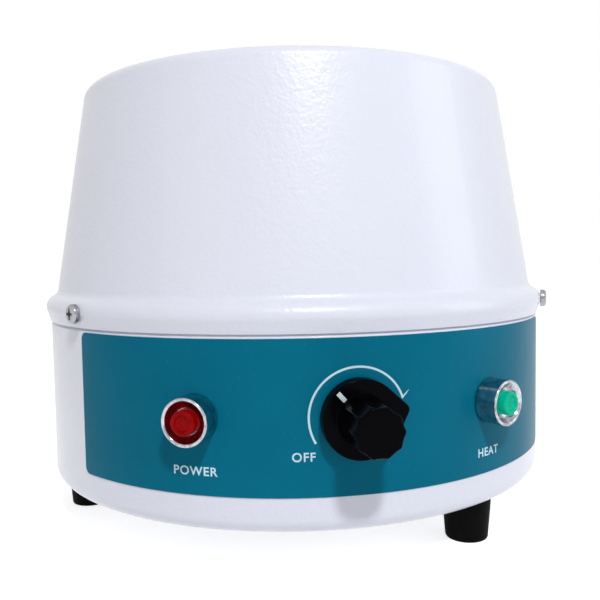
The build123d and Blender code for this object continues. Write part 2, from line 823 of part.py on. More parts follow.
def gland_cap():
    bottom = gland_flange_height + gland_cap_gap
    top = bottom + gland_cap_length
    shoulder = top - gland_dome_length
    across = gland_cap_flats / 2
    cap = hexagon(gland_cap_flats, bottom, shoulder)
    cap += spun((0, shoulder), (across, shoulder), (across - 1.2, shoulder + 4),
                (cable_radius + 2.6, top - 0.4), (cable_radius + 2.0, top), (0, top))
    roof = gland_flange_height + gland_neck_length + 0.3
    neck = gland_neck_radius + seat
    bore = cable_radius + gland_cable_gap
    cavity = spun((0, bottom - 1), (neck, bottom - 1), (neck, roof), (bore, roof + 1.6),
                  (bore, top + 1), (0, top + 1))
    return cap - cavity


def gland_locknut():
    corner = gland_flange_flats / math.sqrt(3)
    top = flat_seat(base_radius - base_sheet, corner) - base_radius - seat
    nut = hex_nut(gland_flange_flats, gland_locknut_height, gland_thread_radius + thread_clearance)
    return Pos(0, 0, top - gland_locknut_height) * nut


# ---------------------------------------------------------------- internal wires
def wire_run(start, inward, middle, pole):
    """Wire from a terminal to the front of one pole of the block."""
    x = pole_offsets()[pole]
    height = block_axis_height()
    front = block_centre_y - block_depth / 2
    return [start, inward, middle, (x, front - 26, height), (x, front + wire_entry, height)]


def lamp_wires(name, poles):
    """The two wires of a lamp, from its terminal blades to the block."""
    angle = lamp_angles[name]
    turn = math.radians(angle)
    back = panel_face_radius - lamp_stem_length - lamp_body_length - terminal_length - wire_end_gap
    points = []
    for side, pole in zip((-1, 1), poles):
        across = side * lamp_terminal_spacing / 2

        def spot(distance, height):
            return (distance * math.sin(turn) + across * math.cos(turn),
                    -distance * math.cos(turn) + across * math.sin(turn), height)
        middle = (pole_offsets()[pole] * 1.25, -14, floor_top + 24)
        points.append(wire_run(spot(back, control_height), spot(back - 22, control_height - 3), middle, pole))
    return points


def regulator_wires(poles):
    """The two wires of the regulator."""
    case_back = panel_face_radius + regulator_front() - regulator_plate - regulator_depth
    back = case_back - terminal_length - wire_end_gap
    points = []
    for side, pole in zip((-1, 1), poles):
        x = side * regulator_terminal_spacing / 2
        start = (x, -back, control_height)
        inward = (x * 0.97, -back + 22, control_height - 3)
        points.append(wire_run(start, inward, (pole_offsets()[pole], -10, floor_top + 20), pole))
    return points


def element_leads(poles):
    """The two leads from the element, down through the shield to the block."""
    first_row_height = nest_centre_height - element_radius * math.cos(math.radians(element_first_angle))
    top = first_row_height - element_wire_radius - seat
    points = []
    for side, pole in zip((-1, 1), poles):
        x = side * lead_bush_spacing / 2
        y = lead_bush_distance
        pole_x = pole_offsets()[pole]
        height = block_axis_height()
        front = block_centre_y - block_depth / 2
        points.append([(x, y, top), (x, y, neck_top - 26), (pole_x * 1.2, y - 4, height + 16),
                       (pole_x, front - 14, height), (pole_x, front + wire_entry, height)])
    return points


def wire_group(name, routes):
    """Solids of one set of wires, with the radius of each bend printed."""
    pieces = []
    for route in routes:
        piece, radii = tube_along(route)
        pieces.append(piece)
        print(name, "bend radii", [round(radius, 1) for radius in radii])
    return group(pieces)


# ---------------------------------------------------------------- the assembly
def build():
    """Every piece in its place, by node name."""
    nodes = {"upper_housing": upper_housing(), "base_drum": base_drum()}
    nodes["control_panel_plate"] = control_panel_plate()

    for name, angle in foot_angles.items():
        nodes["foot_" + name] = round_the_body(angle, 0, foot_circle_radius) * foot()
    foot_places = [round_the_body(angle, 0, foot_circle_radius) for angle in foot_angles.values()]
    nodes["foot_screws"] = group([place * foot_screw() for place in foot_places])
    ring = washer(washer_radius, m4_hole_radius, washer_thickness)
    nodes["foot_washers"] = group([place * Pos(0, 0, floor_top) * ring for place in foot_places])
    nut = hex_nut(m4_nut_flats, m4_nut_height, m4_radius + thread_clearance)
    nodes["foot_nuts"] = group([place * Pos(0, 0, floor_top + washer_thickness) * nut for place in foot_places])

    for name, angle in lamp_angles.items():
        place = outward(angle, control_height, panel_face_radius)
        nodes[name + "_lamp_bezel"] = place * lamp_bezel()
        nodes[name + "_lamp_lens"] = place * lamp_lens()
        nodes[name + "_lamp_nut"] = place * lamp_nut()
        nodes[name + "_lamp_body"] = place * lamp_body()
        nodes[name + "_lamp_terminals"] = place * lamp_terminals()

    place = outward(0, control_height, panel_face_radius)
    nodes["regulator_case"] = place * regulator_case()
    nodes["regulator_bush_plate"] = place * regulator_bush_plate()
    nodes["regulator_washer"] = place * regulator_washer()
    nodes["regulator_nut"] = place * regulator_nut()
    nodes["regulator_terminals"] = place * regulator_terminals()
    nodes["regulator_shaft"] = place * regulator_shaft()
    nodes["control_knob"] = place * control_knob()
    nodes["knob_pointer"] = place * pointer_slot()
    nodes["knob_set_screw"] = place * knob_set_screw()

    screw_places = [outward(angle, housing_screw_height, bead_reach() + seat) for angle in housing_screw_angles]
    nodes["housing_screws"] = group([place * housing_screw() for place in screw_places])
    nut_places = [outward(angle, housing_screw_height, neck_radius) for angle in housing_screw_angles]
    nodes["housing_rivet_nuts"] = group([place * rivet_nut() for place in nut_places])

    nodes["heating_nest"] = heating_nest()
    nodes["nest_hoop"] = nest_hoop()
    nodes["heating_element"] = heating_element()
    nodes["insulation_wool"] = insulation_wool()
    nodes["heat_shield"] = heat_shield()
    length = shield_sheet + base_sheet + m3_nut_height + screw_tail
    shield_screw = pan_screw(m3_radius, m3_head_radius, m3_head_height, length)
    shield_nut = hex_nut(m3_nut_flats, m3_nut_height, m3_radius + thread_clearance)
    shield_nut = Pos(0, 0, -base_sheet - m3_nut_height) * shield_nut
    shield_places = [round_the_body(angle, neck_top, shield_screw_circle()) for angle in shield_screw_angles()]
    nodes["shield_screws"] = group([place * Pos(0, 0, shield_sheet) * shield_screw for place in shield_places])
    nodes["shield_nuts"] = group([place * shield_nut for place in shield_places])
    bush_places = [Pos(side * lead_bush_spacing / 2, lead_bush_distance, 0) for side in (-1, 1)]
    nodes["lead_bushes"] = group([place * lead_bush() for place in bush_places])

    nodes["terminal_block"] = terminal_block()
    nodes["terminal_inserts"] = terminal_inserts()
    nodes["terminal_screws"] = terminal_screws()
    nodes["terminal_block_screws"] = block_screws()
    nodes["terminal_block_nuts"] = block_nuts()
    nodes["earth_screw"] = earth_screw()
    nodes["earth_washer"] = earth_washer()
    nodes["earth_nut"] = earth_nut()

    place = outward(180, gland_height, base_radius)
    nodes["cable_gland_body"] = place * gland_body()
    nodes["cable_gland_seal"] = place * gland_seal()
    nodes["cable_gland_cap"] = place * gland_cap()
    nodes["cable_gland_locknut"] = place * gland_locknut()

    nodes["power_lamp_wires"] = wire_group("power_lamp_wires", lamp_wires("power", (0, 1)))
    nodes["regulator_wires"] = wire_group("regulator_wires", regulator_wires((2, 5)))
    nodes["element_leads"] = wire_group("element_leads", element_leads((3, 4)))
    nodes["heat_lamp_wires"] = wire_group("heat_lamp_wires", lamp_wires("heat", (6, 7)))
    return nodes


os.makedirs("parts", exist_ok=True)
for node_name, shape in build().items():
    export_step(shape, "parts/" + node_name + ".step")
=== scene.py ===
"""Laboratory heating mantle: the finish of every piece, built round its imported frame.

Metres, +Z up. The origin is on the body's axis at floor level and the control panel faces -Y.
Angles round the body are measured in degrees from the front, positive towards +X.
"""
import json
import math

import bmesh
import bpy
import numpy as np
from mathutils import Matrix, Vector


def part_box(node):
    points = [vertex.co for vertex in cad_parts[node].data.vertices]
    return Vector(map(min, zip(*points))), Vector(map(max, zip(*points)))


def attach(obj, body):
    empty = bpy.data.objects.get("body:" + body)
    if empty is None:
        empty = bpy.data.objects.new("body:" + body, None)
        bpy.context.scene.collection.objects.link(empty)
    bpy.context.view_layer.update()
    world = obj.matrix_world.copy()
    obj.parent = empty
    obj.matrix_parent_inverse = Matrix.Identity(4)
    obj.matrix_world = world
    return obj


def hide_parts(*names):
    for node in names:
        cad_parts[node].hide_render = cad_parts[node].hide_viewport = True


bl_info = {
    "name": "Heating mantle",
    "version": (1, 0, 0),
    "blender": (4, 5, 0),
    "location": "3D View > Sidebar > Mantle",
    "description": "Models the shells, controls, nest and finishes of a laboratory heating mantle",
    "category": "Object",
}

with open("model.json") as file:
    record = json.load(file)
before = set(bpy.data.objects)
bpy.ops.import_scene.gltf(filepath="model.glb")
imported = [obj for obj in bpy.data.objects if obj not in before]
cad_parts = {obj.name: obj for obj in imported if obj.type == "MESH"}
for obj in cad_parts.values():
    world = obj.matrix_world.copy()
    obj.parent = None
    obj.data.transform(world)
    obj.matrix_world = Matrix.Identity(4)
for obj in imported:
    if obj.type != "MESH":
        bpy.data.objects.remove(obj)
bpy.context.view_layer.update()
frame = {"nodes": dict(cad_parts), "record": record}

MM = 0.001
WELD = 0.002 * MM
BODY = "mantle"
KNOB = "knob"

drum_low, drum_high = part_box("base_drum")
housing_low, housing_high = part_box("upper_housing")
panel_low, panel_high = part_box("control_panel_plate")
shaft_low, shaft_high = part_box("regulator_shaft")
nest_low, nest_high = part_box("heating_nest")
gland_low, gland_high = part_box("cable_gland_body")

BASE_RADIUS = drum_high.x
FLOOR_BOTTOM = drum_low.z
NECK_TOP = drum_high.z
BAND_BOTTOM = housing_low.z
OVERALL_HEIGHT = housing_high.z
PANEL_BOTTOM, PANEL_TOP = panel_low.z, panel_high.z
CONTROL_HEIGHT = (shaft_low.z + shaft_high.z) / 2
GLAND_HEIGHT = (gland_low.z + gland_high.z) / 2
FEET = ("foot_front_right", "foot_left", "foot_rear_right")
NODE_SLOTS = {part["node"]: part["material_slot"] for part in frame["record"]["subparts"]}


# ---------------------------------------------------------------- what a user would change
def length(name, description, default):
    return bpy.props.FloatProperty(name=name, description=description, default=default, min=0.0,
                                   unit="LENGTH", subtype="DISTANCE", precision=5)


def angle(name, description, default):
    return bpy.props.FloatProperty(name=name, description=description, default=math.radians(default),
                                   unit="ROTATION", subtype="ANGLE")


def colour(name, description, default):
    return bpy.props.FloatVectorProperty(name=name, description=description, default=default, size=3,
                                         subtype="COLOR", min=0.0, max=1.0)


def count(name, description, default):
    return bpy.props.IntProperty(name=name, description=description, default=default, min=3)


class ShellSizes(bpy.types.PropertyGroup):
    """Sizes of the two spun shells and the panel on the drum."""
    sheet: length("Sheet", "Thickness of the spun steel", 1.2 * MM)
    steps: count("Steps", "Facets round the spun shells", 288)
    band_overhang: length("Band overhang", "How far the band's foot stands outside the drum", 0.4 * MM)
    bead_overhang: length("Bead overhang", "How far the bead's corner stands outside the drum", 3.2 * MM)
    bead_height: length("Bead height", "Height of the bead's corner above the band's foot", 9.2 * MM)
    bead_radius: length("Bead radius", "Rounding of the bead", 5.5 * MM)
    flare_height: length("Flare height", "Height of the cone's foot above the band's foot", 12.2 * MM)
    flare_radius: length("Flare radius", "Hollow rounding between bead and cone", 4.0 * MM)
    cone_inset: length("Cone inset", "How far the cone's foot stands inside the drum's side", 3.1 * MM)
    cone_taper: angle("Cone taper", "Lean of the cone's side", 9.3)
    shoulder_radius: length("Shoulder radius", "Rounding at the cone's top", 5.0 * MM)
    mouth_radius: length("Mouth radius", "Radius of the opening for the nest", 72.0 * MM)
    mouth_edge: length("Mouth edge", "Rounding of the mouth's edge", 2.5 * MM)
    mouth_lip: length("Mouth lip", "Depth of the lip that turns down into the mouth", 10.0 * MM)
    drum_corner: length("Drum corner", "Rounding at the drum's foot", 6.0 * MM)
    drum_step: length("Drum step", "Rounding of the step under the band", 0.4 * MM)
    neck_inset: length("Neck inset", "How far the neck stands inside the drum's side", 1.1 * MM)
    neck_corner: length("Neck corner", "Rounding at the neck's top", 2.0 * MM)
    flange_width: length("Flange width", "Width of the flange that carries the heat shield", 12.0 * MM)
    vent_radius: length("Vent radius", "Radius of one vent in the drum's floor", 3.0 * MM)
    vent_circle: length("Vent circle", "Distance of the vents from the axis", 84.0 * MM)
    panel_thickness: length("Panel thickness", "Thickness of the printed plate", 0.4 * MM)
    panel_half_angle: angle("Panel half angle", "Reach of the plate to each side of the front", 56.8)
    panel_corner: length("Panel corner", "Rounding of the plate's corners", 3.0 * MM)


class ControlSizes(bpy.types.PropertyGroup):
    """Sizes of the lamps, the knob and what is printed round them."""
    lamp_angle: angle("Lamp angle", "Place of each lamp to the side of the knob", 28.7)
    bezel_radius: length("Bezel radius", "Outer radius of a lamp's bezel", 9.0 * MM)
    bezel_depth: length("Bezel depth", "How far a bezel stands off the panel", 9.3 * MM)
    bezel_rim: length("Bezel rim", "Width of the bezel's front rim", 1.1 * MM)
    bezel_throat: length("Bezel throat", "Radius at the bottom of the bezel's dish", 5.1 * MM)
    bezel_throat_height: length("Throat height", "Height of the dish's bottom above the panel", 6.2 * MM)
    stem_radius: length("Stem radius", "Radius of a lamp's threaded stem", 6.0 * MM)
    stem_bore: length("Stem bore", "Bore of the stem", 4.9 * MM)
    stem_length: length("Stem length", "Length of the stem behind the panel", 13.0 * MM)
    lens_button: length("Lens button", "Radius of the lens's button", 4.7 * MM)
    lens_height: length("Lens height", "Height of the button above the panel", 10.6 * MM)
    skirt_radius: length("Skirt radius", "Radius of the knob's skirt", 14.6 * MM)
    skirt_front: length("Skirt front", "Height of the skirt's face above the panel", 6.2 * MM)
    nose_reach: length("Nose reach", "Distance of the index nose's tip from the axis", 17.6 * MM)
    nose_radius: length("Nose radius", "Rounding of the index nose", 2.2 * MM)
    nose_angle: angle("Nose angle", "Place of the index nose", 11.0)
    grip_root: length("Grip root", "Radius of the grip at the skirt", 9.4 * MM)
    grip_radius: length("Grip radius", "Radius of the grip's front", 8.9 * MM)
    grip_front: length("Grip front", "Height of the grip's front above the panel", 26.5 * MM)
    grip_edge: length("Grip edge", "Rounding of the grip's front edge", 1.0 * MM)
    flutes: count("Flutes", "Flutes round the grip", 10)
    flute_radius: length("Flute radius", "Radius of one flute", 12.0 * MM)
    flute_depth: length("Flute depth", "Depth of one flute", 0.5 * MM)
    pointer_angle: angle("Pointer angle", "Place of the pointer line at rest", 132.0)
    pointer_width: length("Pointer width", "Width of the pointer line", 1.7 * MM)
    arc_radius: length("Arc radius", "Radius of the printed heat scale", 18.2 * MM)
    arc_width: length("Arc width", "Width of the printed heat scale", 0.8 * MM)
    arc_start: angle("Arc start", "Where the scale begins, at OFF", 210.0)
    arc_end: angle("Arc end", "Where the scale ends, at full heat", 18.0)
    print_height: length("Print height", "Cap height of the printed words", 3.4 * MM)
    print_thickness: length("Print thickness", "Thickness of the printed ink", 0.03 * MM)


class NestSizes(bpy.types.PropertyGroup):
    """Sizes of the knitted nest."""
    inner_radius: length("Inner radius", "Radius of the knitted bowl", 67.0 * MM)
    thickness: length("Thickness", "Thickness of the knitted wall", 4.0 * MM)
    columns: count("Columns", "Mesh columns round the bowl", 600)
    stitches: count("Stitches", "Stitches round the bowl's mouth", 120)
    course_height: length("Course height", "Height of one row of stitches", 3.5 * MM)
    stitch_depth: length("Stitch depth", "How far a stitch stands out", 0.55 * MM)
    row_spacing: length("Row spacing", "Distance between rows of the heating cord", 10.5 * MM)
    row_radius: length("Row radius", "Radius of the sleeved heating cord", 1.3 * MM)


class Colours(bpy.types.PropertyGroup):
    """Colours of the finishes."""
    enamel: colour("Enamel", "Baked enamel on the shells", (0.80, 0.815, 0.92))
    panel: colour("Panel", "Printed plate", (0.0, 0.162, 0.262))
    ink: colour("Ink", "Printed words and scale", (0.62, 0.86, 0.95))
    red_lens: colour("Power lens", "Lens of the power lamp", (0.30, 0.0, 0.001))
    green_lens: colour("Heat lens", "Lens of the heat lamp", (0.0, 0.46, 0.28))
    knob: colour("Knob", "Moulded knob", (0.0012, 0.0012, 0.0018))
    pointer: colour("Pointer", "Paint in the pointer line", (0.70, 0.84, 0.84))
    yarn: colour("Yarn", "Glass yarn of the nest", (0.80, 0.78, 0.72))


GROUPS = {"mantle_shell": ShellSizes, "mantle_controls": ControlSizes, "mantle_nest": NestSizes,
          "mantle_colours": Colours}


# ---------------------------------------------------------------- working by hand
def deselect():
    if bpy.context.object and bpy.context.object.mode != "OBJECT":
        bpy.ops.object.mode_set(mode="OBJECT")
    bpy.ops.object.select_all(action="DESELECT")


def take(*pieces):
    """Selects only these pieces, the first of them active."""
    deselect()
    for piece in pieces:
        piece.select_set(True)
    bpy.context.view_layer.objects.active = pieces[0]
    return pieces[0]


def edit(piece, kind="VERT"):
    """Edit mode on this piece, with nothing selected."""
    take(piece)
    bpy.ops.object.mode_set(mode="EDIT")
    bpy.ops.mesh.select_mode(type=kind)
    bpy.ops.mesh.select_all(action="DESELECT")


def done():
    bpy.ops.object.mode_set(mode="OBJECT")


def settle(piece):
    """Welds doubles, turns faces outwards and leaves edit mode."""
    take(piece)
    bpy.ops.object.mode_set(mode="EDIT")
    bpy.ops.mesh.select_all(action="SELECT")
    bpy.ops.mesh.remove_doubles(threshold=WELD)
    bpy.ops.mesh.normals_make_consistent(inside=False)
    done()
    return piece


def smooth(piece, degrees=35):
    take(piece)
    bpy.ops.object.shade_smooth_by_angle(angle=math.radians(degrees))
    return piece


def apply_modifier(piece, kind, **values):
    """Adds one modifier with these values and applies it."""
    take(piece)
    made = piece.modifiers.new(kind.title(), kind)
    for name, value in values.items():
        setattr(made, name, value)
    bpy.ops.object.modifier_apply(modifier=made.name)
    return piece


def even_shading(piece, degrees=35):
    """Smooth shading whose normals follow the large faces."""
    smooth(piece, degrees)
    return apply_modifier(piece, "WEIGHTED_NORMAL", keep_sharp=True, weight=70)


def cut(piece, *cutters):
    """Cuts these bodies out of the piece and removes them."""
    for cutter in cutters:
        apply_modifier(piece, "BOOLEAN", operation="DIFFERENCE", solver="EXACT", object=cutter)
        bpy.data.objects.remove(cutter)
    return piece


def draw_line(name, points):
    """A chain of edges through the points, extruded from one vertex. Ends in edit mode."""
    deselect()
    bpy.ops.mesh.primitive_plane_add(size=MM, location=points[0])
    piece = bpy.context.object
    piece.name = piece.data.name = name
    bpy.ops.object.transform_apply()
    bpy.ops.object.mode_set(mode="EDIT")
    bpy.ops.mesh.select_all(action="SELECT")
    bpy.ops.mesh.merge(type="CENTER")
    for before, after in zip(points, points[1:]):
        step = Vector(after) - Vector(before)
        bpy.ops.mesh.extrude_vertices_move(TRANSFORM_OT_translate={"value": step})
    return piece


def spin(name, outline, steps, turn=2 * math.pi):
    """Piece turned about +Z from a closed outline of (radius, height) points."""
    piece = draw_line(name, [(r, 0, z) for r, z in outline])
    bpy.ops.mesh.select_all(action="SELECT")
    bpy.ops.mesh.spin(steps=steps, angle=turn, center=(0, 0, 0), axis=(0, 0, 1))
    return settle(piece)


def loft(name, corners, levels):
    """Piece built up along +Z: each level gives (radius, height) for an angle round the axis."""
    deselect()
    bpy.ops.mesh.primitive_circle_add(vertices=corners, radius=MM, fill_type="NGON")
    piece = bpy.context.object
    piece.name = piece.data.name = name
    bpy.ops.object.mode_set(mode="EDIT")
    bpy.ops.mesh.select_all(action="SELECT")
    for index, level in enumerate(levels):
        if index:
            bpy.ops.mesh.extrude_region_move(TRANSFORM_OT_translate={"value": (0, 0, 0)})
        mesh = bmesh.from_edit_mesh(piece.data)
        for vertex in (v for v in mesh.verts if v.select):
            turn = math.atan2(vertex.co.y, vertex.co.x)
            reach, height = level(turn)
            vertex.co = (reach * math.cos(turn), reach * math.sin(turn), height)
        bmesh.update_edit_mesh(piece.data)
    return settle(piece)


def ring(reach, height):
    """A round level of a loft."""
    return lambda turn: (reach, height)


def cutter_rod(place, radius, low, high, corners=48):
    """Round cutter along its own z."""
    deselect()
    bpy.ops.mesh.primitive_cylinder_add(vertices=corners, radius=radius, depth=high - low)
    piece = bpy.context.object
    piece.data.transform(place @ Matrix.Translation((0, 0, (low + high) / 2)))
    return piece


def move(piece, place):
    piece.data.transform(place)
    piece.data.update()
    return piece


def outward(turn, height, distance):
    """Frame on the body's side: x to the right seen from outside, y up, z outwards."""
    across = Vector((math.cos(turn), math.sin(turn), 0))
    out = Vector((math.sin(turn), -math.cos(turn), 0))
    place = Matrix((across, (0, 0, 1), out)).transposed().to_4x4()
    place.translation = out * distance + Vector((0, 0, height))
    return place


def round_the_body(turn, distance, height=0.0):
    """Upright frame at an angle round the body."""
    return Matrix.Translation((distance * math.sin(turn), -distance * math.cos(turn), height))


def wrap_round(piece, radius, turn=0.0):
    """Bends a flat piece round the body: its x runs round the side, z stays up and y points outwards."""
    for vertex in piece.data.vertices:
        x, y, z = vertex.co
        at = turn + x / radius
        reach = radius + y
        vertex.co = (reach * math.sin(at), -reach * math.cos(at), z)
    piece.data.update()
    return piece


# ---------------------------------------------------------------- outlines
def offset_corners(points, distance):
    """The same outline, moved to its left by a distance."""
    spots = [Vector(p) for p in points]
    sides = [(b - a).normalized() for a, b in zip(spots, spots[1:])]
    lefts = [Vector((-s.y, s.x)) for s in sides]
    moved = [spots[0] + lefts[0] * distance]
    for corner, one, other in zip(spots[1:], lefts, lefts[1:]):
        moved.append(corner + (one + other) * distance / (1 + one.dot(other)))
    return moved + [spots[-1] + lefts[-1] * distance]


def rounded(points, radii, step=math.radians(9)):
    """The outline with its inner corners turned into arcs of these radii."""
    spots = [Vector(p) for p in points]
    line = [spots[0]]
    for before, corner, after, radius in zip(spots, spots[1:], spots[2:], radii):
        coming, going = (corner - before).normalized(), (after - corner).normalized()
        turn = coming.angle_signed(going) * -1
        if radius <= 0 or abs(turn) < 1e-4:
            line.append(corner)
            continue
        side = 1 if turn > 0 else -1
        left = Vector((-coming.y, coming.x)) * side
        centre = corner - coming * radius * math.tan(abs(turn) / 2) + left * radius
        pieces = max(2, math.ceil(abs(turn) / step))
        spoke = -left * radius
        for index in range(pieces + 1):
            share = turn * index / pieces
            line.append(centre + Matrix.Rotation(share, 2) @ spoke)
    line.append(spots[-1])
    return line


def sheet_section(points, radii, thickness, on_axis=False):
    """Closed outline of a sheet whose outer face follows the points and whose wall lies to their left."""
    outer = rounded(points, radii)
    spots = [Vector(p) for p in points]
    inner_radii = []
    for before, corner, after, radius in zip(spots, spots[1:], spots[2:], radii):
        left_turn = (corner - before).cross(after - corner) > 0
        inner_radii.append(max(radius - thickness, 0) if left_turn else radius + thickness)
    inner = rounded(offset_corners(points, thickness), inner_radii)
    closing = [] if on_axis else [outer[0]]
    return outer + inner[::-1] + closing


# ---------------------------------------------------------------- finishing
def finish(piece, body, slot, material, *nodes):
    """Gives the piece its material, hangs it on its body's empty and hides the imported nodes it takes the
    place of.
    """
    piece.data.materials.clear()
    piece.data.materials.append(material)
    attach(piece, body)
    if nodes:
        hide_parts(*nodes)
    return piece


def finished_copy(node, name, degrees=30, bevel=0.0):
    """A welded and smoothed copy of a CAD piece, with its edges broken if a bevel is given."""
    source = frame["nodes"][node]
    piece = bpy.data.objects.new(name, source.data.copy())
    bpy.context.scene.collection.objects.link(piece)
    settle(piece)
    if bevel:
        edit(piece)
        bpy.ops.mesh.select_all(action="SELECT")
        bpy.ops.mesh.dissolve_limited(angle_limit=math.radians(4))
        done()
        apply_modifier(piece, "BEVEL", width=bevel, segments=3, limit_method="ANGLE",
                       angle_limit=math.radians(degrees), use_clamp_overlap=True)
    return even_shading(piece, degrees)


# ---------------------------------------------------------------- shared effects
MIX_SHARE, MIX_ONE, MIX_OTHER, MIX_COLOUR = 0, 6, 7, 2


def node_group(name, scale, build, outputs, inputs=()):
    """A shader node group, built once: Vector and Scale come in, then the other inputs."""
    if name in bpy.data.node_groups:
        return bpy.data.node_groups[name]
    group = bpy.data.node_groups.new(name, "ShaderNodeTree")
    usual = [("Vector", "NodeSocketVector", None), ("Scale", "NodeSocketFloat", scale)]
    for label, kind, default in (*usual, *inputs):
        socket = group.interface.new_socket(label, in_out="INPUT", socket_type=kind)
        if default is not None:
            socket.default_value = default
    for label, kind in outputs:
        group.interface.new_socket(label, in_out="OUTPUT", socket_type=kind)
    entry = group.nodes.new("NodeGroupInput")
    leave = group.nodes.new("NodeGroupOutput")
    build(group, entry, leave)
    return group


def add(tree, kind, **values):
    """A node with these properties; a name that isn't a property is a socket's, with _ for a space."""
    made = tree.nodes.new(kind)
    for name, value in values.items():
        if hasattr(made, name):
            setattr(made, name, value)
        else:
            made.inputs[name.replace("_", " ")].default_value = value
    return made


def wire(tree, source, target):
    tree.links.new(source, target)


def maths(tree, operation, one, other=None):
    """A Math node on two sockets or numbers; gives its output socket."""
    made = add(tree, "ShaderNodeMath", operation=operation)
    for socket, value in zip(made.inputs, (one, other)):
        if value is None:
            continue
        if isinstance(value, bpy.types.NodeSocket):
            wire(tree, value, socket)
        else:
            socket.default_value = value
    return made.outputs[0]


def texture(tree, entry, kind, **values):
    """A texture inside a group, placed and scaled by the group's inputs."""
    made = add(tree, kind, **values)
    for label in ("Vector", "Scale"):
        wire(tree, entry.outputs[label], made.inputs[label])
    return made


def mix_colours(tree, share, one, other):
    """A Mix node between two colours or sockets; gives its output socket."""
    made = add(tree, "ShaderNodeMix", data_type="RGBA")
    wire(tree, share, made.inputs[MIX_SHARE])
    for index, value in ((MIX_ONE, one), (MIX_OTHER, other)):
        if isinstance(value, bpy.types.NodeSocket):
            wire(tree, value, made.inputs[index])
        else:
            made.inputs[index].default_value = (*value, 1)
    return made.outputs[MIX_COLOUR]


def looked_at(tree):
    """1 for a ray from the camera, a reflection or a clear piece, and 0 for light that lands."""
    path = add(tree, "ShaderNodeLightPath")
    bent = maths(tree, "MAXIMUM", path.outputs["Is Glossy Ray"], path.outputs["Is Transmission Ray"])
    return maths(tree, "MAXIMUM", path.outputs["Is Camera Ray"], bent)


def noise(tree, where, scale, detail=2.0, roughness=0.5):
    made = add(tree, "ShaderNodeTexNoise", Scale=scale, Detail=detail, Roughness=roughness)
    wire(tree, where, made.inputs["Vector"])
    return made.outputs["Fac"]


def orange_peel():
    """Height of a sprayed and baked coat: small rounded dimples on slow waves."""
    def build(tree, entry, leave):
        cells = texture(tree, entry, "ShaderNodeTexVoronoi", feature="SMOOTH_F1", Smoothness=0.8)
        waves = add(tree, "ShaderNodeTexNoise", Detail=1.5)
        wire(tree, entry.outputs["Vector"], waves.inputs["Vector"])
        wire(tree, maths(tree, "MULTIPLY", entry.outputs["Scale"], 0.42), waves.inputs["Scale"])
        dimples = maths(tree, "MULTIPLY", cells.outputs["Distance"], 0.6)
        wire(tree, maths(tree, "ADD", dimples, waves.outputs["Fac"]), leave.inputs["Height"])
    return node_group("orange_peel", 900.0, build, [("Height", "NodeSocketFloat")])


def speckle():
    """Sparse grains from 0 to 1, such as dust under a film or in a moulding."""
    def build(tree, entry, leave):
        grains = texture(tree, entry, "ShaderNodeTexVoronoi", feature="F1")
        near = add(tree, "ShaderNodeMapRange", From_Min=0.12, From_Max=0.05, To_Min=0.0, To_Max=1.0)
        wire(tree, grains.outputs["Distance"], near.inputs["Value"])
        chosen = add(tree, "ShaderNodeSeparateColor")
        wire(tree, grains.outputs["Color"], chosen.inputs["Color"])
        kept = maths(tree, "LESS_THAN", chosen.outputs["Red"], entry.outputs["Share"])
        wire(tree, maths(tree, "MULTIPLY", near.outputs["Result"], kept), leave.inputs["Mask"])
    return node_group("speckle", 300.0, build, [("Mask", "NodeSocketFloat")],
                      [("Share", "NodeSocketFloat", 0.2)])


def uneven():
    """Slow change of a colour between two shades."""
    def build(tree, entry, leave):
        cloud = texture(tree, entry, "ShaderNodeTexNoise", Detail=3.0, Roughness=0.6)
        spread = add(tree, "ShaderNodeMapRange", From_Min=0.3, From_Max=0.7)
        wire(tree, cloud.outputs["Fac"], spread.inputs["Value"])
        share = spread.outputs["Result"]
        between = mix_colours(tree, share, entry.outputs["One"], entry.outputs["Other"])
        wire(tree, between, leave.inputs["Color"])
        wire(tree, share, leave.inputs["Mask"])
    return node_group("uneven", 12.0, build, [("Color", "NodeSocketColor"), ("Mask", "NodeSocketFloat")],
                      [(label, "NodeSocketColor", (1, 1, 1, 1)) for label in ("One", "Other")])


def edge_wear():
    """Mask of the convex edges, broken up by noise."""
    def build(tree, entry, leave):
        shape = add(tree, "ShaderNodeNewGeometry")
        sharp = add(tree, "ShaderNodeMapRange", From_Min=0.52, From_Max=0.62)
        wire(tree, shape.outputs["Pointiness"], sharp.inputs["Value"])
        scuffs = texture(tree, entry, "ShaderNodeTexNoise", Detail=4.0)
        mask = maths(tree, "MULTIPLY", sharp.outputs["Result"], scuffs.outputs["Fac"])
        wire(tree, mask, leave.inputs["Mask"])
    return node_group("edge_wear", 400.0, build, [("Mask", "NodeSocketFloat")])


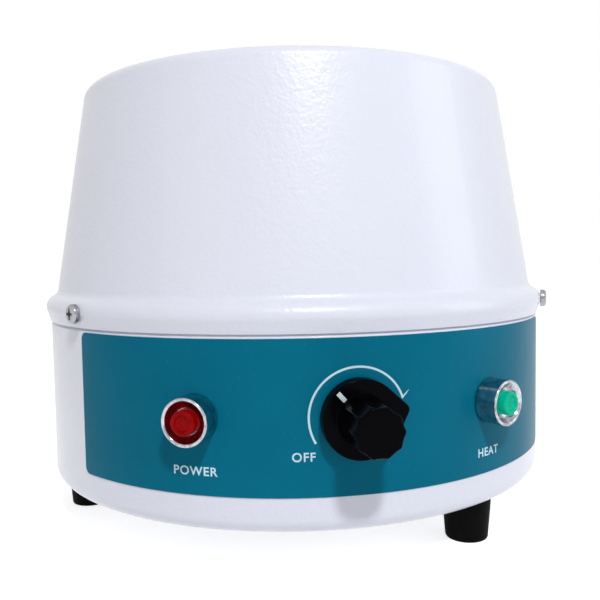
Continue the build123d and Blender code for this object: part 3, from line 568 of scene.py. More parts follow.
class Finish:
    """A new material with its shader, its object coordinates and its shared effects."""

    def __init__(self, name, **sockets):
        self.material = bpy.data.materials.new(name)
        self.material.use_nodes = True
        self.tree = self.material.node_tree
        self.shader = self.tree.nodes["Principled BSDF"]
        self.where = self.tree.nodes.new("ShaderNodeTexCoord").outputs["Object"]
        for label, value in sockets.items():
            self.shader.inputs[label.replace("_", " ")].default_value = value

    def effect(self, group, **values):
        made = self.tree.nodes.new("ShaderNodeGroup")
        made.node_tree = group
        wire(self.tree, self.where, made.inputs["Vector"])
        for label, value in values.items():
            made.inputs[label].default_value = value
        return made

    def tint(self, one, other, scale):
        """Base colour that wanders slowly between two shades; gives the mask."""
        made = self.effect(uneven(), Scale=scale, One=(*one, 1), Other=(*other, 1))
        wire(self.tree, made.outputs["Color"], self.shader.inputs["Base Color"])
        return made.outputs["Mask"]

    def roughness(self, mask, low, high):
        made = add(self.tree, "ShaderNodeMapRange", To_Min=low, To_Max=high)
        wire(self.tree, mask, made.inputs["Value"])
        wire(self.tree, made.outputs["Result"], self.shader.inputs["Roughness"])

    def bump(self, height, distance, strength=1.0):
        made = add(self.tree, "ShaderNodeBump", Distance=distance, Strength=strength)
        wire(self.tree, height, made.inputs["Height"])
        wire(self.tree, made.outputs["Normal"], self.shader.inputs["Normal"])
        return made


def shade(base, share):
    """The colour made lighter or darker by a share."""
    return tuple(min(1.0, part * share) for part in base)


# ---------------------------------------------------------------- materials
def baked_enamel(base):
    made = Finish("baked_enamel", IOR=1.5, Coat_Weight=0.35, Coat_Roughness=0.07)
    mask = made.tint(base, shade(base, 0.965), 9.0)
    made.roughness(mask, 0.30, 0.38)
    peel = made.effect(orange_peel(), Scale=760.0)
    made.bump(peel.outputs["Height"], 0.00015, 0.9)
    return made.material


FILM_DUST = (0.06, 0.36, 0.47)


def printed_plate(base):
    made = Finish("printed_plate", IOR=1.5, Specular_IOR_Level=0.05)
    tint = made.effect(uneven(), Scale=16.0, One=(*base, 1), Other=(*shade(base, 0.86), 1))
    grains = made.effect(speckle(), Scale=520.0, Share=0.14)
    dust = maths(made.tree, "MULTIPLY", grains.outputs["Mask"], 0.5)
    dusty = mix_colours(made.tree, dust, tint.outputs["Color"], FILM_DUST)
    wire(made.tree, dusty, made.shader.inputs["Base Color"])
    made.roughness(tint.outputs["Mask"], 0.26, 0.34)
    peel = made.effect(orange_peel(), Scale=1500.0)
    made.bump(peel.outputs["Height"], 0.00003, 0.5)
    return made.material


def printing_ink(base):
    made = Finish("printing_ink", IOR=1.45)
    mask = made.tint(base, shade(base, 0.9), 240.0)
    made.roughness(mask, 0.42, 0.55)
    made.bump(noise(made.tree, made.where, 2500.0), 0.00001, 0.4)
    return made.material


def bright_chrome():
    made = Finish("bright_chrome", Metallic=1.0, IOR=2.0)
    mask = made.tint((0.64, 0.65, 0.67), (0.20, 0.21, 0.25), 260.0)
    made.roughness(mask, 0.06, 0.16)
    made.bump(noise(made.tree, made.where, 500.0, 3.0), 0.00002, 0.25)
    return made.material


def clear_lens(name, base, glow):
    """Tinted plastic that a little light comes through, with a painted glow: emission that stands in for
    light shining through it.
    """
    made = Finish(name, IOR=1.49, Specular_IOR_Level=0.04, Transmission_Weight=0.03, Emission_Strength=glow)
    mask = made.tint(base, shade(base, 0.75), 220.0)
    made.roughness(mask, 0.10, 0.20)
    # Painted glow: the emission colour, darker in patches, stands in for light shining through the lens.
    painted_glow_colour = mix_colours(made.tree, mask, base, shade(base, 0.8))
    wire(made.tree, painted_glow_colour, made.shader.inputs["Emission Color"])
    made.bump(noise(made.tree, made.where, 700.0), 0.00003, 0.3)
    return made.material


def moulded_knob(base):
    made = Finish("moulded_knob", IOR=1.5, Specular_IOR_Level=0.02)
    mask = made.tint(base, shade(base, 1.8), 90.0)
    made.roughness(mask, 0.12, 0.20)
    grains = made.effect(speckle(), Scale=900.0, Share=0.3)
    height = maths(made.tree, "ADD", grains.outputs["Mask"], noise(made.tree, made.where, 900.0))
    made.bump(height, 0.00003, 0.35)
    return made.material


def line_paint(base):
    made = Finish("line_paint", IOR=1.45)
    mask = made.tint(base, shade(base, 0.78), 700.0)
    made.roughness(mask, 0.35, 0.5)
    made.bump(noise(made.tree, made.where, 1800.0), 0.00003, 0.5)
    return made.material


def plain_finish(name, one, other, scale, rough, grain, depth, **sockets):
    """A finish of two shades with a fine grain: rubber, nylon, ceramic or sleeve."""
    made = Finish(name, **sockets)
    mask = made.tint(one, other, scale)
    made.roughness(mask, *rough)
    wear = made.effect(edge_wear(), Scale=grain * 0.5)
    height = maths(made.tree, "ADD", noise(made.tree, made.where, grain, 3.0), wear.outputs["Mask"])
    made.bump(height, depth, 0.6)
    return made.material


def turned_metal(name, one, other, rough):
    """Plated or turned metal with fine rings of tool marks."""
    made = Finish(name, Metallic=1.0)
    mask = made.tint(one, other, 140.0)
    made.roughness(mask, *rough)
    marks = add(made.tree, "ShaderNodeTexNoise", Scale=1600.0, Detail=4.0)
    stretch = add(made.tree, "ShaderNodeMapping")
    stretch.inputs["Scale"].default_value = (1.0, 1.0, 0.15)
    wire(made.tree, made.where, stretch.inputs["Vector"])
    wire(made.tree, stretch.outputs["Vector"], marks.inputs["Vector"])
    made.bump(marks.outputs["Fac"], 0.00001, 0.5)
    return made.material


def glass_yarn(base):
    """Knitted glass yarn: fine twisted filaments over the modelled stitches."""
    made = Finish("glass_yarn", IOR=1.45, Sheen_Weight=0.25, Sheen_Roughness=0.4)
    mask = made.tint(base, shade(base, 0.9), 120.0)
    made.roughness(mask, 0.62, 0.8)
    strands = add(made.tree, "ShaderNodeTexWave", wave_type="BANDS", bands_direction="DIAGONAL",
                  Scale=950.0, Distortion=6.0, Detail=2.0)
    wire(made.tree, made.where, strands.inputs["Vector"])
    height = maths(made.tree, "ADD", strands.outputs["Fac"], noise(made.tree, made.where, 2200.0))
    made.bump(height, 0.00009, 0.7)
    return made.material


def glass_wool():
    made = Finish("glass_wool", IOR=1.4, Sheen_Weight=0.4)
    mask = made.tint((0.78, 0.68, 0.42), (0.62, 0.52, 0.28), 60.0)
    made.roughness(mask, 0.85, 0.95)
    made.bump(noise(made.tree, made.where, 260.0, 8.0, 0.75), 0.0012, 0.9)
    return made.material


def wound_wire():
    made = Finish("heating_wire", Metallic=1.0)
    mask = made.tint((0.34, 0.32, 0.30), (0.20, 0.19, 0.20), 300.0)
    made.roughness(mask, 0.3, 0.45)
    turns = add(made.tree, "ShaderNodeTexWave", wave_type="BANDS", bands_direction="DIAGONAL", Scale=420.0)
    wire(made.tree, made.where, turns.inputs["Vector"])
    made.bump(turns.outputs["Fac"], 0.0002, 0.8)
    return made.material


FINISHES = {}


def finishes(colours):
    """Every finish by the record's slot name, made once."""
    if not FINISHES:
        FINISHES.update({
            "white_enamel": baked_enamel(colours.enamel),
            "panel_film": printed_plate(colours.panel),
            "ink": printing_ink(colours.ink),
            "chrome": bright_chrome(),
            # The last number given to each lens is the strength of its painted glow.
            "red_lens": clear_lens("red_lens", colours.red_lens, 0.12),
            "green_lens": clear_lens("green_lens", colours.green_lens, 0.25),
            "black_knob": moulded_knob(colours.knob),
            "pointer_paint": line_paint(colours.pointer),
            "black_rubber": plain_finish("black_rubber", (0.0015, 0.0015, 0.002), (0.004, 0.004, 0.004),
                                         70.0, (0.55, 0.72), 1400.0, 0.00008, Specular_IOR_Level=0.04),
            "black_nylon": plain_finish("black_nylon", (0.012, 0.012, 0.013), (0.020, 0.020, 0.021),
                                        90.0, (0.38, 0.5), 1100.0, 0.00004),
            "steel": turned_metal("zinc_plated_steel", (0.42, 0.42, 0.44), (0.26, 0.26, 0.28),
                                  (0.16, 0.30)),
            "brass": turned_metal("brass", (0.62, 0.45, 0.18), (0.50, 0.35, 0.13), (0.22, 0.36)),
            "ceramic": plain_finish("glazed_ceramic", (0.76, 0.74, 0.68), (0.66, 0.63, 0.56), 80.0,
                                    (0.22, 0.4), 800.0, 0.00004, Coat_Weight=0.3),
            "glass_yarn": glass_yarn(colours.yarn),
            "glass_wool": glass_wool(),
            "heating_wire": wound_wire(),
            "wire_sleeve": plain_finish("wire_sleeve", (0.62, 0.60, 0.55), (0.50, 0.48, 0.44), 200.0,
                                        (0.5, 0.65), 1500.0, 0.00006),
        })
    return FINISHES


# ---------------------------------------------------------------- the shells
SCREW_HOLE = 2.2 * MM
BUSH_HOLE = 5.2 * MM
GLAND_HOLE = 8.2 * MM
RIVET_NUT_HOLE = 2.6 * MM
STEM_CLEARANCE = 0.2 * MM
STEP_HEIGHT = 1.2 * MM
HOUSING_SCREW_ANGLES = (-57.4, 62.6, 182.6)
HOUSING_SCREW_HEIGHT = BAND_BOTTOM + 5.95 * MM
VENT_GROUPS, VENTS_IN_GROUP, VENT_PITCH, FIRST_VENT_GROUP = 3, 5, 8, 90
VENT_FACETS = 24


def housing_screw_places():
    return [outward(math.radians(turn), HOUSING_SCREW_HEIGHT, BASE_RADIUS) for turn in HOUSING_SCREW_ANGLES]


def upper_housing(sizes, material):
    radius = BASE_RADIUS
    foot = BAND_BOTTOM + sizes.flare_height
    foot_radius = radius - sizes.cone_inset
    top_radius = foot_radius - (OVERALL_HEIGHT - foot) * math.tan(sizes.cone_taper)
    points = [(radius + sizes.band_overhang, BAND_BOTTOM),
              (radius + sizes.bead_overhang, BAND_BOTTOM + sizes.bead_height),
              (foot_radius, foot), (top_radius, OVERALL_HEIGHT), (sizes.mouth_radius, OVERALL_HEIGHT),
              (sizes.mouth_radius, OVERALL_HEIGHT - sizes.mouth_lip)]
    radii = [sizes.bead_radius, sizes.flare_radius, sizes.shoulder_radius, sizes.mouth_edge]
    piece = spin("upper_housing_shell", sheet_section(points, radii, sizes.sheet), sizes.steps)
    cut(piece, *[cutter_rod(place, SCREW_HOLE, -8 * MM, 8 * MM) for place in housing_screw_places()])
    even_shading(piece)
    return finish(piece, BODY, "white_enamel", material, "upper_housing")


def base_drum(sizes, controls, material):
    radius, wall_top = BASE_RADIUS, BAND_BOTTOM - STEP_HEIGHT
    neck = radius - sizes.neck_inset
    points = [(0, FLOOR_BOTTOM), (radius, FLOOR_BOTTOM), (radius, wall_top), (neck, BAND_BOTTOM),
              (neck, NECK_TOP), (neck - sizes.flange_width, NECK_TOP)]
    radii = [sizes.drum_corner, sizes.drum_step, sizes.drum_step, sizes.neck_corner]
    piece = spin("base_drum_shell", sheet_section(points, radii, sizes.sheet, on_axis=True), sizes.steps)
    cut(piece, *drum_cutters(sizes, controls))
    even_shading(piece)
    return finish(piece, BODY, "white_enamel", material, "base_drum")


def drum_cutters(sizes, controls):
    """Holes for the controls, gland, vents, feet and inner fixings."""
    low, high = FLOOR_BOTTOM - MM, FLOOR_BOTTOM + 3 * MM
    # Half a facet's turn keeps the vents' corners off the drum's seam, where a cut would stay open.
    off_seam = Matrix.Rotation(math.pi / VENT_FACETS, 4, "Z")
    side = [(0.0, CONTROL_HEIGHT, BUSH_HOLE), (math.pi, GLAND_HEIGHT, GLAND_HOLE)]
    side += [(turn, CONTROL_HEIGHT, controls.stem_radius + STEM_CLEARANCE) for turn in lamp_turns(controls)]
    cutters = [cutter_rod(outward(turn, height, BASE_RADIUS), reach, -5 * MM, 5 * MM)
               for turn, height, reach in side]
    cutters += [cutter_rod(place, RIVET_NUT_HOLE, -6 * MM, 4 * MM) for place in housing_screw_places()]
    for group in range(VENT_GROUPS):
        for index in range(VENTS_IN_GROUP):
            aside = (index - (VENTS_IN_GROUP - 1) // 2) * VENT_PITCH
            turn = math.radians(360 // VENT_GROUPS * group + FIRST_VENT_GROUP + aside)
            place = round_the_body(turn, sizes.vent_circle) @ off_seam
            cutters.append(cutter_rod(place, sizes.vent_radius, low, high, VENT_FACETS))
    for name in FEET:
        one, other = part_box(name)
        middle = (one + other) / 2
        place = Matrix.Translation((middle.x, middle.y, 0))
        cutters.append(cutter_rod(place, SCREW_HOLE, low, high, 24))
    return cutters


def lamp_turns(controls):
    return (-controls.lamp_angle, controls.lamp_angle)


# ---------------------------------------------------------------- the printed plate
SLICE = math.radians(1.5)
SCALE_STEPS = 96
# Text, piece's name, angle round the body in degrees, then height and width in millimetres.
WORDS = (("POWER", "word_power", -28.9, 41.4, 17.7),
         ("OFF", "word_off", -9.6, 47.3, 8.5),
         ("HEAT", "word_heat", 28.6, 40.8, 12.8))


def printed_panel(sizes, controls, material):
    """A flat plate with rounded corners and holes, sliced finely and bent round the drum."""
    radius = BASE_RADIUS
    half_width = sizes.panel_half_angle * radius
    middle = (PANEL_BOTTOM + PANEL_TOP) / 2
    deselect()
    bpy.ops.mesh.primitive_cube_add(size=1, location=(0, sizes.panel_thickness / 2, middle),
                                    scale=(2 * half_width, sizes.panel_thickness, PANEL_TOP - PANEL_BOTTOM))
    piece = bpy.context.object
    piece.name = piece.data.name = "printed_plate"
    bpy.ops.object.transform_apply()
    edit(piece, "EDGE")
    mesh = bmesh.from_edit_mesh(piece.data)
    for edge in mesh.edges:
        one, other = edge.verts
        edge.select_set(abs(one.co.y - other.co.y) > sizes.panel_thickness / 2)
    bpy.ops.mesh.bevel(offset=sizes.panel_corner, segments=8, affect="EDGES")
    done()
    flat = Matrix.Rotation(math.radians(90), 4, "X")
    holes = [(turn * radius, controls.stem_radius + STEM_CLEARANCE) for turn in lamp_turns(controls)]
    holes.append((0, BUSH_HOLE))
    cut(piece, *[cutter_rod(Matrix.Translation((x, 0, CONTROL_HEIGHT)) @ flat, reach, -2 * MM, 2 * MM)
                 for x, reach in holes])
    edit(piece)
    slices = math.ceil(2 * sizes.panel_half_angle / SLICE)
    for index in range(1, slices):
        x = half_width * (2 * index / slices - 1)
        bpy.ops.mesh.select_all(action="SELECT")
        bpy.ops.mesh.bisect(plane_co=(x, 0, 0), plane_no=(1, 0, 0))
    done()
    wrap_round(piece, radius)
    settle(piece)
    apply_modifier(piece, "BEVEL", width=0.08 * MM, segments=2, limit_method="ANGLE",
                   angle_limit=math.radians(50))
    even_shading(piece)
    return finish(piece, BODY, "panel_film", material, "control_panel_plate")


def printed_word(text, name, centre, height, wide, sizes, controls, material):
    """One printed word, bent round the panel at an angle and height, as wide as given."""
    deselect()
    bpy.ops.object.text_add(location=(0, 0, 0))
    piece = bpy.context.object
    piece.name = name
    piece.data.body = text
    piece.data.extrude, piece.data.offset, piece.data.space_character = 0.5, 0.018, 1.12
    bpy.ops.object.convert(target="MESH")
    points = np.array([vertex.co for vertex in piece.data.vertices])
    low, high = points.min(axis=0), points.max(axis=0)
    scale = Vector((wide / (high[0] - low[0]), controls.print_height / (high[1] - low[1]),
                    controls.print_thickness / (high[2] - low[2])))
    for vertex in piece.data.vertices:
        x, y, z = (vertex.co[i] - (low[i] + high[i]) / 2 for i in range(3))
        vertex.co = (x * scale.x, controls.print_thickness / 2 + z * scale.z, y * scale.y)
    move(piece, Matrix.Translation((0, 0, height)))
    wrap_round(piece, BASE_RADIUS + sizes.panel_thickness, centre)
    settle(piece)
    smooth(piece, 20)
    return finish(piece, BODY, "panel_film", material)


def heat_scale(sizes, controls, material):
    """The printed arc round the knob, from OFF to full heat, with its barb."""
    reach, half = controls.arc_radius, controls.arc_width / 2
    ink = controls.print_thickness
    sweep = controls.arc_start - controls.arc_end
    outline = [(reach - half, 0), (reach + half, 0), (reach + half, ink), (reach - half, ink)]
    piece = draw_line("heat_scale", [(r, 0, z) for r, z in outline])
    bpy.ops.mesh.select_all(action="SELECT")
    bpy.ops.mesh.edge_face_add()
    bpy.ops.mesh.select_all(action="SELECT")
    bpy.ops.mesh.spin(steps=SCALE_STEPS, angle=sweep, center=(0, 0, 0), axis=(0, 0, 1))
    settle(piece)
    # The spin runs clockwise seen from +Z, so the arc's first end is turned to its start.
    move(piece, Matrix.Rotation(controls.arc_start, 4, "Z"))
    barb = arc_barb(controls, ink)
    take(piece, barb)
    bpy.ops.object.join()
    upright = Matrix(((1, 0, 0, 0), (0, 0, 1, 0), (0, 1, 0, 0), (0, 0, 0, 1)))
    move(piece, Matrix.Translation((0, 0, CONTROL_HEIGHT)) @ upright)
    wrap_round(piece, BASE_RADIUS + sizes.panel_thickness)
    settle(piece)
    smooth(piece, 20)
    return finish(piece, BODY, "panel_film", material)


def arc_barb(controls, ink):
    """Thin spike at the scale's end, pointing outwards."""
    tip = controls.arc_radius + 3.4 * MM
    root = controls.arc_radius + controls.arc_width * 0.2
    deselect()
    bpy.ops.mesh.primitive_plane_add(size=1)
    piece = bpy.context.object
    turn = controls.arc_end + math.radians(1.2)
    lean = math.radians(4.0)
    spots = [(root, turn - math.radians(1.0)), (tip, turn + lean), (tip, turn + lean + math.radians(0.3)),
             (root, turn + math.radians(1.6))]
    order = sorted(piece.data.vertices, key=lambda v: math.atan2(v.co.y, v.co.x))
    for vertex, (reach, at) in zip(order, spots):
        vertex.co = (reach * math.cos(at), reach * math.sin(at), 0)
    edit(piece)
    bpy.ops.mesh.select_all(action="SELECT")
    bpy.ops.mesh.extrude_region_move(TRANSFORM_OT_translate={"value": (0, 0, ink)})
    done()
    return settle(piece)


# ---------------------------------------------------------------- lamps
ARC_STEP = math.radians(15)
PLAY = 0.05 * MM


def lamp_bezel(name, turn, sizes, controls, material):
    outer, rim = controls.bezel_radius, controls.bezel_radius - controls.bezel_rim
    front, throat, throat_height = controls.bezel_depth, controls.bezel_throat, controls.bezel_throat_height
    bore, stem, end = controls.stem_bore, controls.stem_radius, -controls.stem_length
    points = [(bore, end), (stem, end), (stem, PLAY), (outer, PLAY), (outer, front), (rim, front),
              (throat + 1.1 * MM, throat_height + 0.75 * MM), (throat, throat_height), (bore, throat_height),
              (bore, end)]
    radii = [0.2 * MM, 0.0, 0.35 * MM, 0.5 * MM, 0.8 * MM, 2.2 * MM, 0.0, 0.0]
    piece = spin(name + "_lamp_reflector", rounded(points, radii, ARC_STEP), 128)
    move(piece, outward(turn, CONTROL_HEIGHT, BASE_RADIUS + sizes.panel_thickness))
    even_shading(piece)
    return finish(piece, BODY, "chrome", material, name + "_lamp_bezel")


def lamp_lens(name, turn, sizes, controls, material):
    """Button lens standing out of the dish, with a round hollow in its front and a low middle."""
    low, high = controls.bezel_throat_height, controls.lens_height
    stem, button = controls.stem_bore - PLAY, controls.lens_button
    tail, deepest, middle = -6 * MM, high - 0.85 * MM, high - 0.6 * MM
    points = [(0, tail), (stem, tail), (stem, low), (button, low), (button, high), (button * 0.66, high),
              (button * 0.57, high - 0.75 * MM), (button * 0.30, deepest), (button * 0.22, middle),
              (0, middle)]
    radii = [0.2 * MM, 0.0, 0.0, 0.7 * MM, 0.3 * MM, 0.25 * MM, 0.2 * MM, 0.2 * MM]
    piece = spin(name + "_lamp_window", rounded(points, radii, ARC_STEP), 96)
    move(piece, outward(turn, CONTROL_HEIGHT, BASE_RADIUS + sizes.panel_thickness))
    even_shading(piece)
    slot = "red_lens" if name == "power" else "green_lens"
    return finish(piece, BODY, slot, material, name + "_lamp_lens")


# ---------------------------------------------------------------- the knob
KNOB_BORE, BORE_END = 3.02 * MM, 18.5 * MM
KNOB_HOLLOW, HOLLOW_TOP = 10.2 * MM, 4.4 * MM
KNOB_FOOT = 1.0 * MM
POINTER_DEPTH = 0.5 * MM
POINTER_PLAY = 0.06 * MM
SET_SCREW_HOLE, SET_SCREW_HEIGHT = 1.5 * MM, 12 * MM


def skirt_reach(controls, turn):
    """Radius of the skirt's outline: a circle with one nose, joined by straight flanks."""
    skirt, nose = controls.skirt_radius, controls.nose_radius
    far = controls.nose_reach - nose
    away = abs((turn - controls.nose_angle + math.pi) % (2 * math.pi) - math.pi)
    lean = math.acos((skirt - nose) / far)
    if away >= lean:
        return skirt
    tip = math.atan2(nose * math.sin(lean), far + nose * math.cos(lean))
    if away > tip:
        return skirt / math.cos(lean - away)
    return far * math.cos(away) + math.sqrt(nose ** 2 - (far * math.sin(away)) ** 2)


def grip_reach(controls, turn, radius):
    """Radius of the fluted grip at an angle round its axis."""
    pitch = 2 * math.pi / controls.flutes
    away = turn % pitch - pitch / 2
    far = controls.grip_radius - controls.flute_depth + controls.flute_radius
    inside = controls.flute_radius ** 2 - (far * math.sin(away)) ** 2
    if inside <= 0:
        return radius
    return min(radius, far * math.cos(away) - math.sqrt(inside))


def control_knob(sizes, controls, material):
    skirt = controls.skirt_front
    front, edge = controls.grip_front, controls.grip_edge
    fade_low, fade_high = skirt + 1.0 * MM, skirt + 2.2 * MM

    def grip_radius(height):
        share = (height - skirt) / (front - skirt)
        return controls.grip_root + (controls.grip_radius - controls.grip_root) * share

    def skirt_level(inset, height):
        return lambda turn: (skirt_reach(controls, turn) - inset, height)

    def grip_level(height, inset=0.0, fluted=True):
        radius = grip_radius(height)
        return lambda turn: ((grip_reach(controls, turn, radius) if fluted else radius) - inset, height)

    levels = [ring(KNOB_BORE, BORE_END), ring(KNOB_BORE, HOLLOW_TOP), ring(KNOB_HOLLOW, HOLLOW_TOP),
              ring(KNOB_HOLLOW, KNOB_FOOT), skirt_level(0.25 * MM, KNOB_FOOT), skirt_level(0, 1.25 * MM),
              skirt_level(0, skirt - 0.5 * MM), skirt_level(0.08 * MM, skirt - 0.25 * MM),
              skirt_level(0.24 * MM, skirt - 0.08 * MM), skirt_level(0.5 * MM, skirt)]
    root = grip_radius(skirt)
    levels += [ring(root + 0.5 * MM, skirt), ring(root + 0.15 * MM, skirt + 0.15 * MM),
               grip_level(skirt + 0.5 * MM, fluted=False), grip_level(fade_low, fluted=False),
               grip_level(fade_high)]
    steps = 6
    side = front - edge - fade_high
    levels += [grip_level(fade_high + side * index / steps) for index in range(1, steps + 1)]
    for index in range(1, steps + 1):
        lean = math.radians(90 // steps * index)
        levels.append(grip_level(front - edge + edge * math.sin(lean), edge * (1 - math.cos(lean))))
    levels += [grip_level(front, edge + 0.6 * MM), ring(controls.grip_radius * 0.55, front - 0.12 * MM),
               ring(controls.grip_radius * 0.25, front - 0.18 * MM)]
    piece = loft("turned_knob", 240, levels)
    cut(piece, pointer_block(controls, POINTER_PLAY, 1.0 * MM),
        cutter_rod(set_screw_place(controls), SET_SCREW_HOLE, 0, 20 * MM, 32))
    move(piece, outward(0.0, CONTROL_HEIGHT, BASE_RADIUS + sizes.panel_thickness))
    even_shading(piece, 40)
    return finish(piece, KNOB, "black_knob", material, "control_knob")


def set_screw_place(controls):
    turn = Matrix.Rotation(controls.pointer_angle + math.pi, 4, "Z")
    return turn @ Matrix.Translation((0, 0, SET_SCREW_HEIGHT)) @ Matrix.Rotation(math.pi / 2, 4, "Y")


def pointer_block(controls, margin, above):
    """Block of the pointer line in the skirt's face, with a margin round its sides and a rise above."""
    inner = controls.grip_root + 0.2 * MM - margin
    outer = controls.skirt_radius - 1.0 * MM + margin
    deselect()
    bpy.ops.mesh.primitive_cube_add(size=1)
    piece = bpy.context.object
    depth = POINTER_DEPTH + above
    piece.data.transform(Matrix.Diagonal((outer - inner, controls.pointer_width + 2 * margin, depth, 1)))
    middle = Matrix.Translation(((outer + inner) / 2, 0, controls.skirt_front - POINTER_DEPTH + depth / 2))
    return move(piece, Matrix.Rotation(controls.pointer_angle, 4, "Z") @ middle)


def pointer_line(sizes, controls, material):
    piece = pointer_block(controls, 0.0, 0.0)
    piece.name = piece.data.name = "pointer_line"
    apply_modifier(piece, "BEVEL", width=0.12 * MM, segments=3)
    move(piece, outward(0.0, CONTROL_HEIGHT, BASE_RADIUS + sizes.panel_thickness))
    smooth(piece)
    return finish(piece, KNOB, "pointer_paint", material, "knob_pointer")


# ---------------------------------------------------------------- feet
FOOT_SOLE = 8.8 * MM
FOOT_WELL, WELL_TOP = 5.0 * MM, 8.0 * MM


def rubber_foot(name, material):
    """Tapered foot with a well in its sole for the screw's head."""
    low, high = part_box(name)
    middle = (low + high) / 2
    tall = high.z
    top = (high.x - low.x) / 2
    points = [(SCREW_HOLE, tall), (SCREW_HOLE, WELL_TOP), (FOOT_WELL, WELL_TOP), (FOOT_WELL, 0),
              (FOOT_SOLE, 0), (top, tall), (SCREW_HOLE, tall)]
    radii = [0.0, 0.0, 0.4 * MM, 1.2 * MM, 0.35 * MM]
    piece = spin(name + "_rubber", rounded(points, radii, math.radians(12)), 72)
    move(piece, Matrix.Translation((middle.x, middle.y, 0)))
    even_shading(piece)
    return finish(piece, BODY, "black_rubber", material, name)


# ---------------------------------------------------------------- the knitted nest
NEST_SEED, WAVES, WAVE_HEIGHT = 7, 14, 0.35 * MM
FACE_STEP, POLE_GAP, POLE_FADE = 0.82 * MM, 2.6 * MM, 8 * MM
FIRST_ROW, ROWS_FROM, ROWS_SHORT = 7 * MM, 5 * MM, 12 * MM
TIE_HEIGHT, HEM_RIB, FACE_SINK = 0.5 * MM, 0.22 * MM, 0.45 * MM
COLLAR_DROP = 8 * MM


def stitch_height(across, along):
    """Height of a knitted face from 0 to 1: two leaning legs in each stitch."""
    cell = across % 1.0 - 0.5
    rise = along % 1.0
    lean = 0.11 + 0.22 * rise
    gap = np.minimum(np.abs(cell - lean), np.abs(cell + lean))
    leg = np.sqrt(np.clip(1 - (gap / 0.19) ** 2, 0, 1))
    return leg * (0.65 + 0.35 * np.sin(np.pi * rise))


def slow_waves(turn, along, seed):
    """Gentle unevenness of hand-set cloth, periodic round the bowl."""
    random = np.random.default_rng(seed)
    total = np.zeros(np.broadcast(turn, along).shape)
    for _ in range(WAVES):
        lobes, rows = random.integers(2, 15), random.uniform(0.02, 0.22)
        round_it = np.sin(lobes * turn + random.uniform(0, 6.3))
        total += round_it * np.sin(rows * along / MM + random.uniform(0, 6.3))
    return total / WAVES ** 0.5


def nest_section(sizes):
    """Points of the hem and the face, their normals, and each one's way down the face (-1 on the hem)."""
    inner, rim = sizes.inner_radius, nest_high.z
    hem = (nest_high.x - inner) / 2
    centre = nest_low.z + inner + sizes.thickness
    straight = rim - hem - centre
    face_length = straight + inner * math.pi / 2
    line, normal, along = [], [], []
    for lean in np.linspace(0, math.pi, 12):
        r, z = inner + hem + hem * math.cos(lean), rim - hem + hem * math.sin(lean)
        line.append((r, z))
        normal.append(((r - inner - hem) / hem, (z - rim + hem) / hem))
        along.append(-1.0)
    for way in np.linspace(0, face_length - POLE_GAP, round(face_length / FACE_STEP))[1:]:
        if way < straight:
            line.append((inner, rim - hem - way))
            normal.append((-1.0, 0.0))
        else:
            lean = (way - straight) / inner
            line.append((inner * math.cos(lean), centre - inner * math.sin(lean)))
            normal.append((-math.cos(lean), math.sin(lean)))
        along.append(way)
    return np.array(line), np.array(normal), np.array(along)[:, None], face_length


def nest_relief(sizes, turn, along, reach, face_length):
    """How far stitches, heating rows, their ties and the hem's ribs stand out at each point."""
    on_face = (along > 0).astype(float)
    near_pole = np.where(reach > 0.33 * sizes.inner_radius, 0.5, 0.25)
    stitches = sizes.stitches * np.where(reach > 0.66 * sizes.inner_radius, 1.0, near_pole)
    knit = stitch_height(turn * stitches / (2 * math.pi), along / sizes.course_height)
    row = (along - FIRST_ROW) / sizes.row_spacing
    from_row = np.abs(row - np.round(row)) * sizes.row_spacing
    has_rows = (along > ROWS_FROM) & (along < face_length - ROWS_SHORT)
    cord = np.sqrt(np.clip(1 - (from_row / sizes.row_radius) ** 2, 0, 1)) * has_rows
    ties = np.abs((turn * sizes.stitches / (4 * math.pi)) % 1.0 - 0.5) < 0.12
    braid = 0.10 * np.sin(turn * 420 + along / MM * 3)
    lift = sizes.stitch_depth * knit * on_face
    lift = np.maximum(lift, (sizes.row_radius * cord * (1 + braid) * on_face))
    lift = lift + TIE_HEIGHT * ties * (cord > 0) * on_face
    hem_ribs = HEM_RIB * np.sin(turn * sizes.stitches) * (on_face == 0)
    waves = WAVE_HEIGHT * slow_waves(turn, along, NEST_SEED) * on_face
    lift = lift + hem_ribs + waves - FACE_SINK * on_face
    fade = np.clip((face_length - along) / POLE_FADE, 0, 1)
    return lift * np.where(on_face > 0, fade, 1.0)


def nest_back(sizes):
    """Points of the plain back, from the bowl's pole out to the collar."""
    outside = sizes.inner_radius + sizes.thickness
    centre = nest_low.z + sizes.inner_radius + sizes.thickness
    leans = np.linspace(math.asin(COLLAR_DROP / outside), math.pi / 2, 14)[:-1]
    curve = [(outside * math.cos(lean), centre - outside * math.sin(lean)) for lean in leans]
    return np.array(([(nest_high.x, centre - COLLAR_DROP)] + curve)[::-1])


def knitted_nest(sizes, material):
    """A bowl of knitted glass yarn: modelled stitches, sleeved heating rows and a rolled hem."""
    turn = np.arange(sizes.columns) * 2 * math.pi / sizes.columns
    line, normal, along, face_length = nest_section(sizes)
    reach = line[:, :1]
    lift = nest_relief(sizes, turn[None, :], along, reach, face_length)
    back = nest_back(sizes)
    radius = np.vstack([np.repeat(back[:, :1], sizes.columns, 1), reach + normal[:, :1] * lift])
    height = np.vstack([np.repeat(back[:, 1:], sizes.columns, 1), line[:, 1:] + normal[:, 1:] * lift])
    piece = grid_piece("knitted_nest", radius, height, turn)
    smooth(piece, 75)
    finish(piece, BODY, "glass_yarn", material, "heating_nest")
    return piece


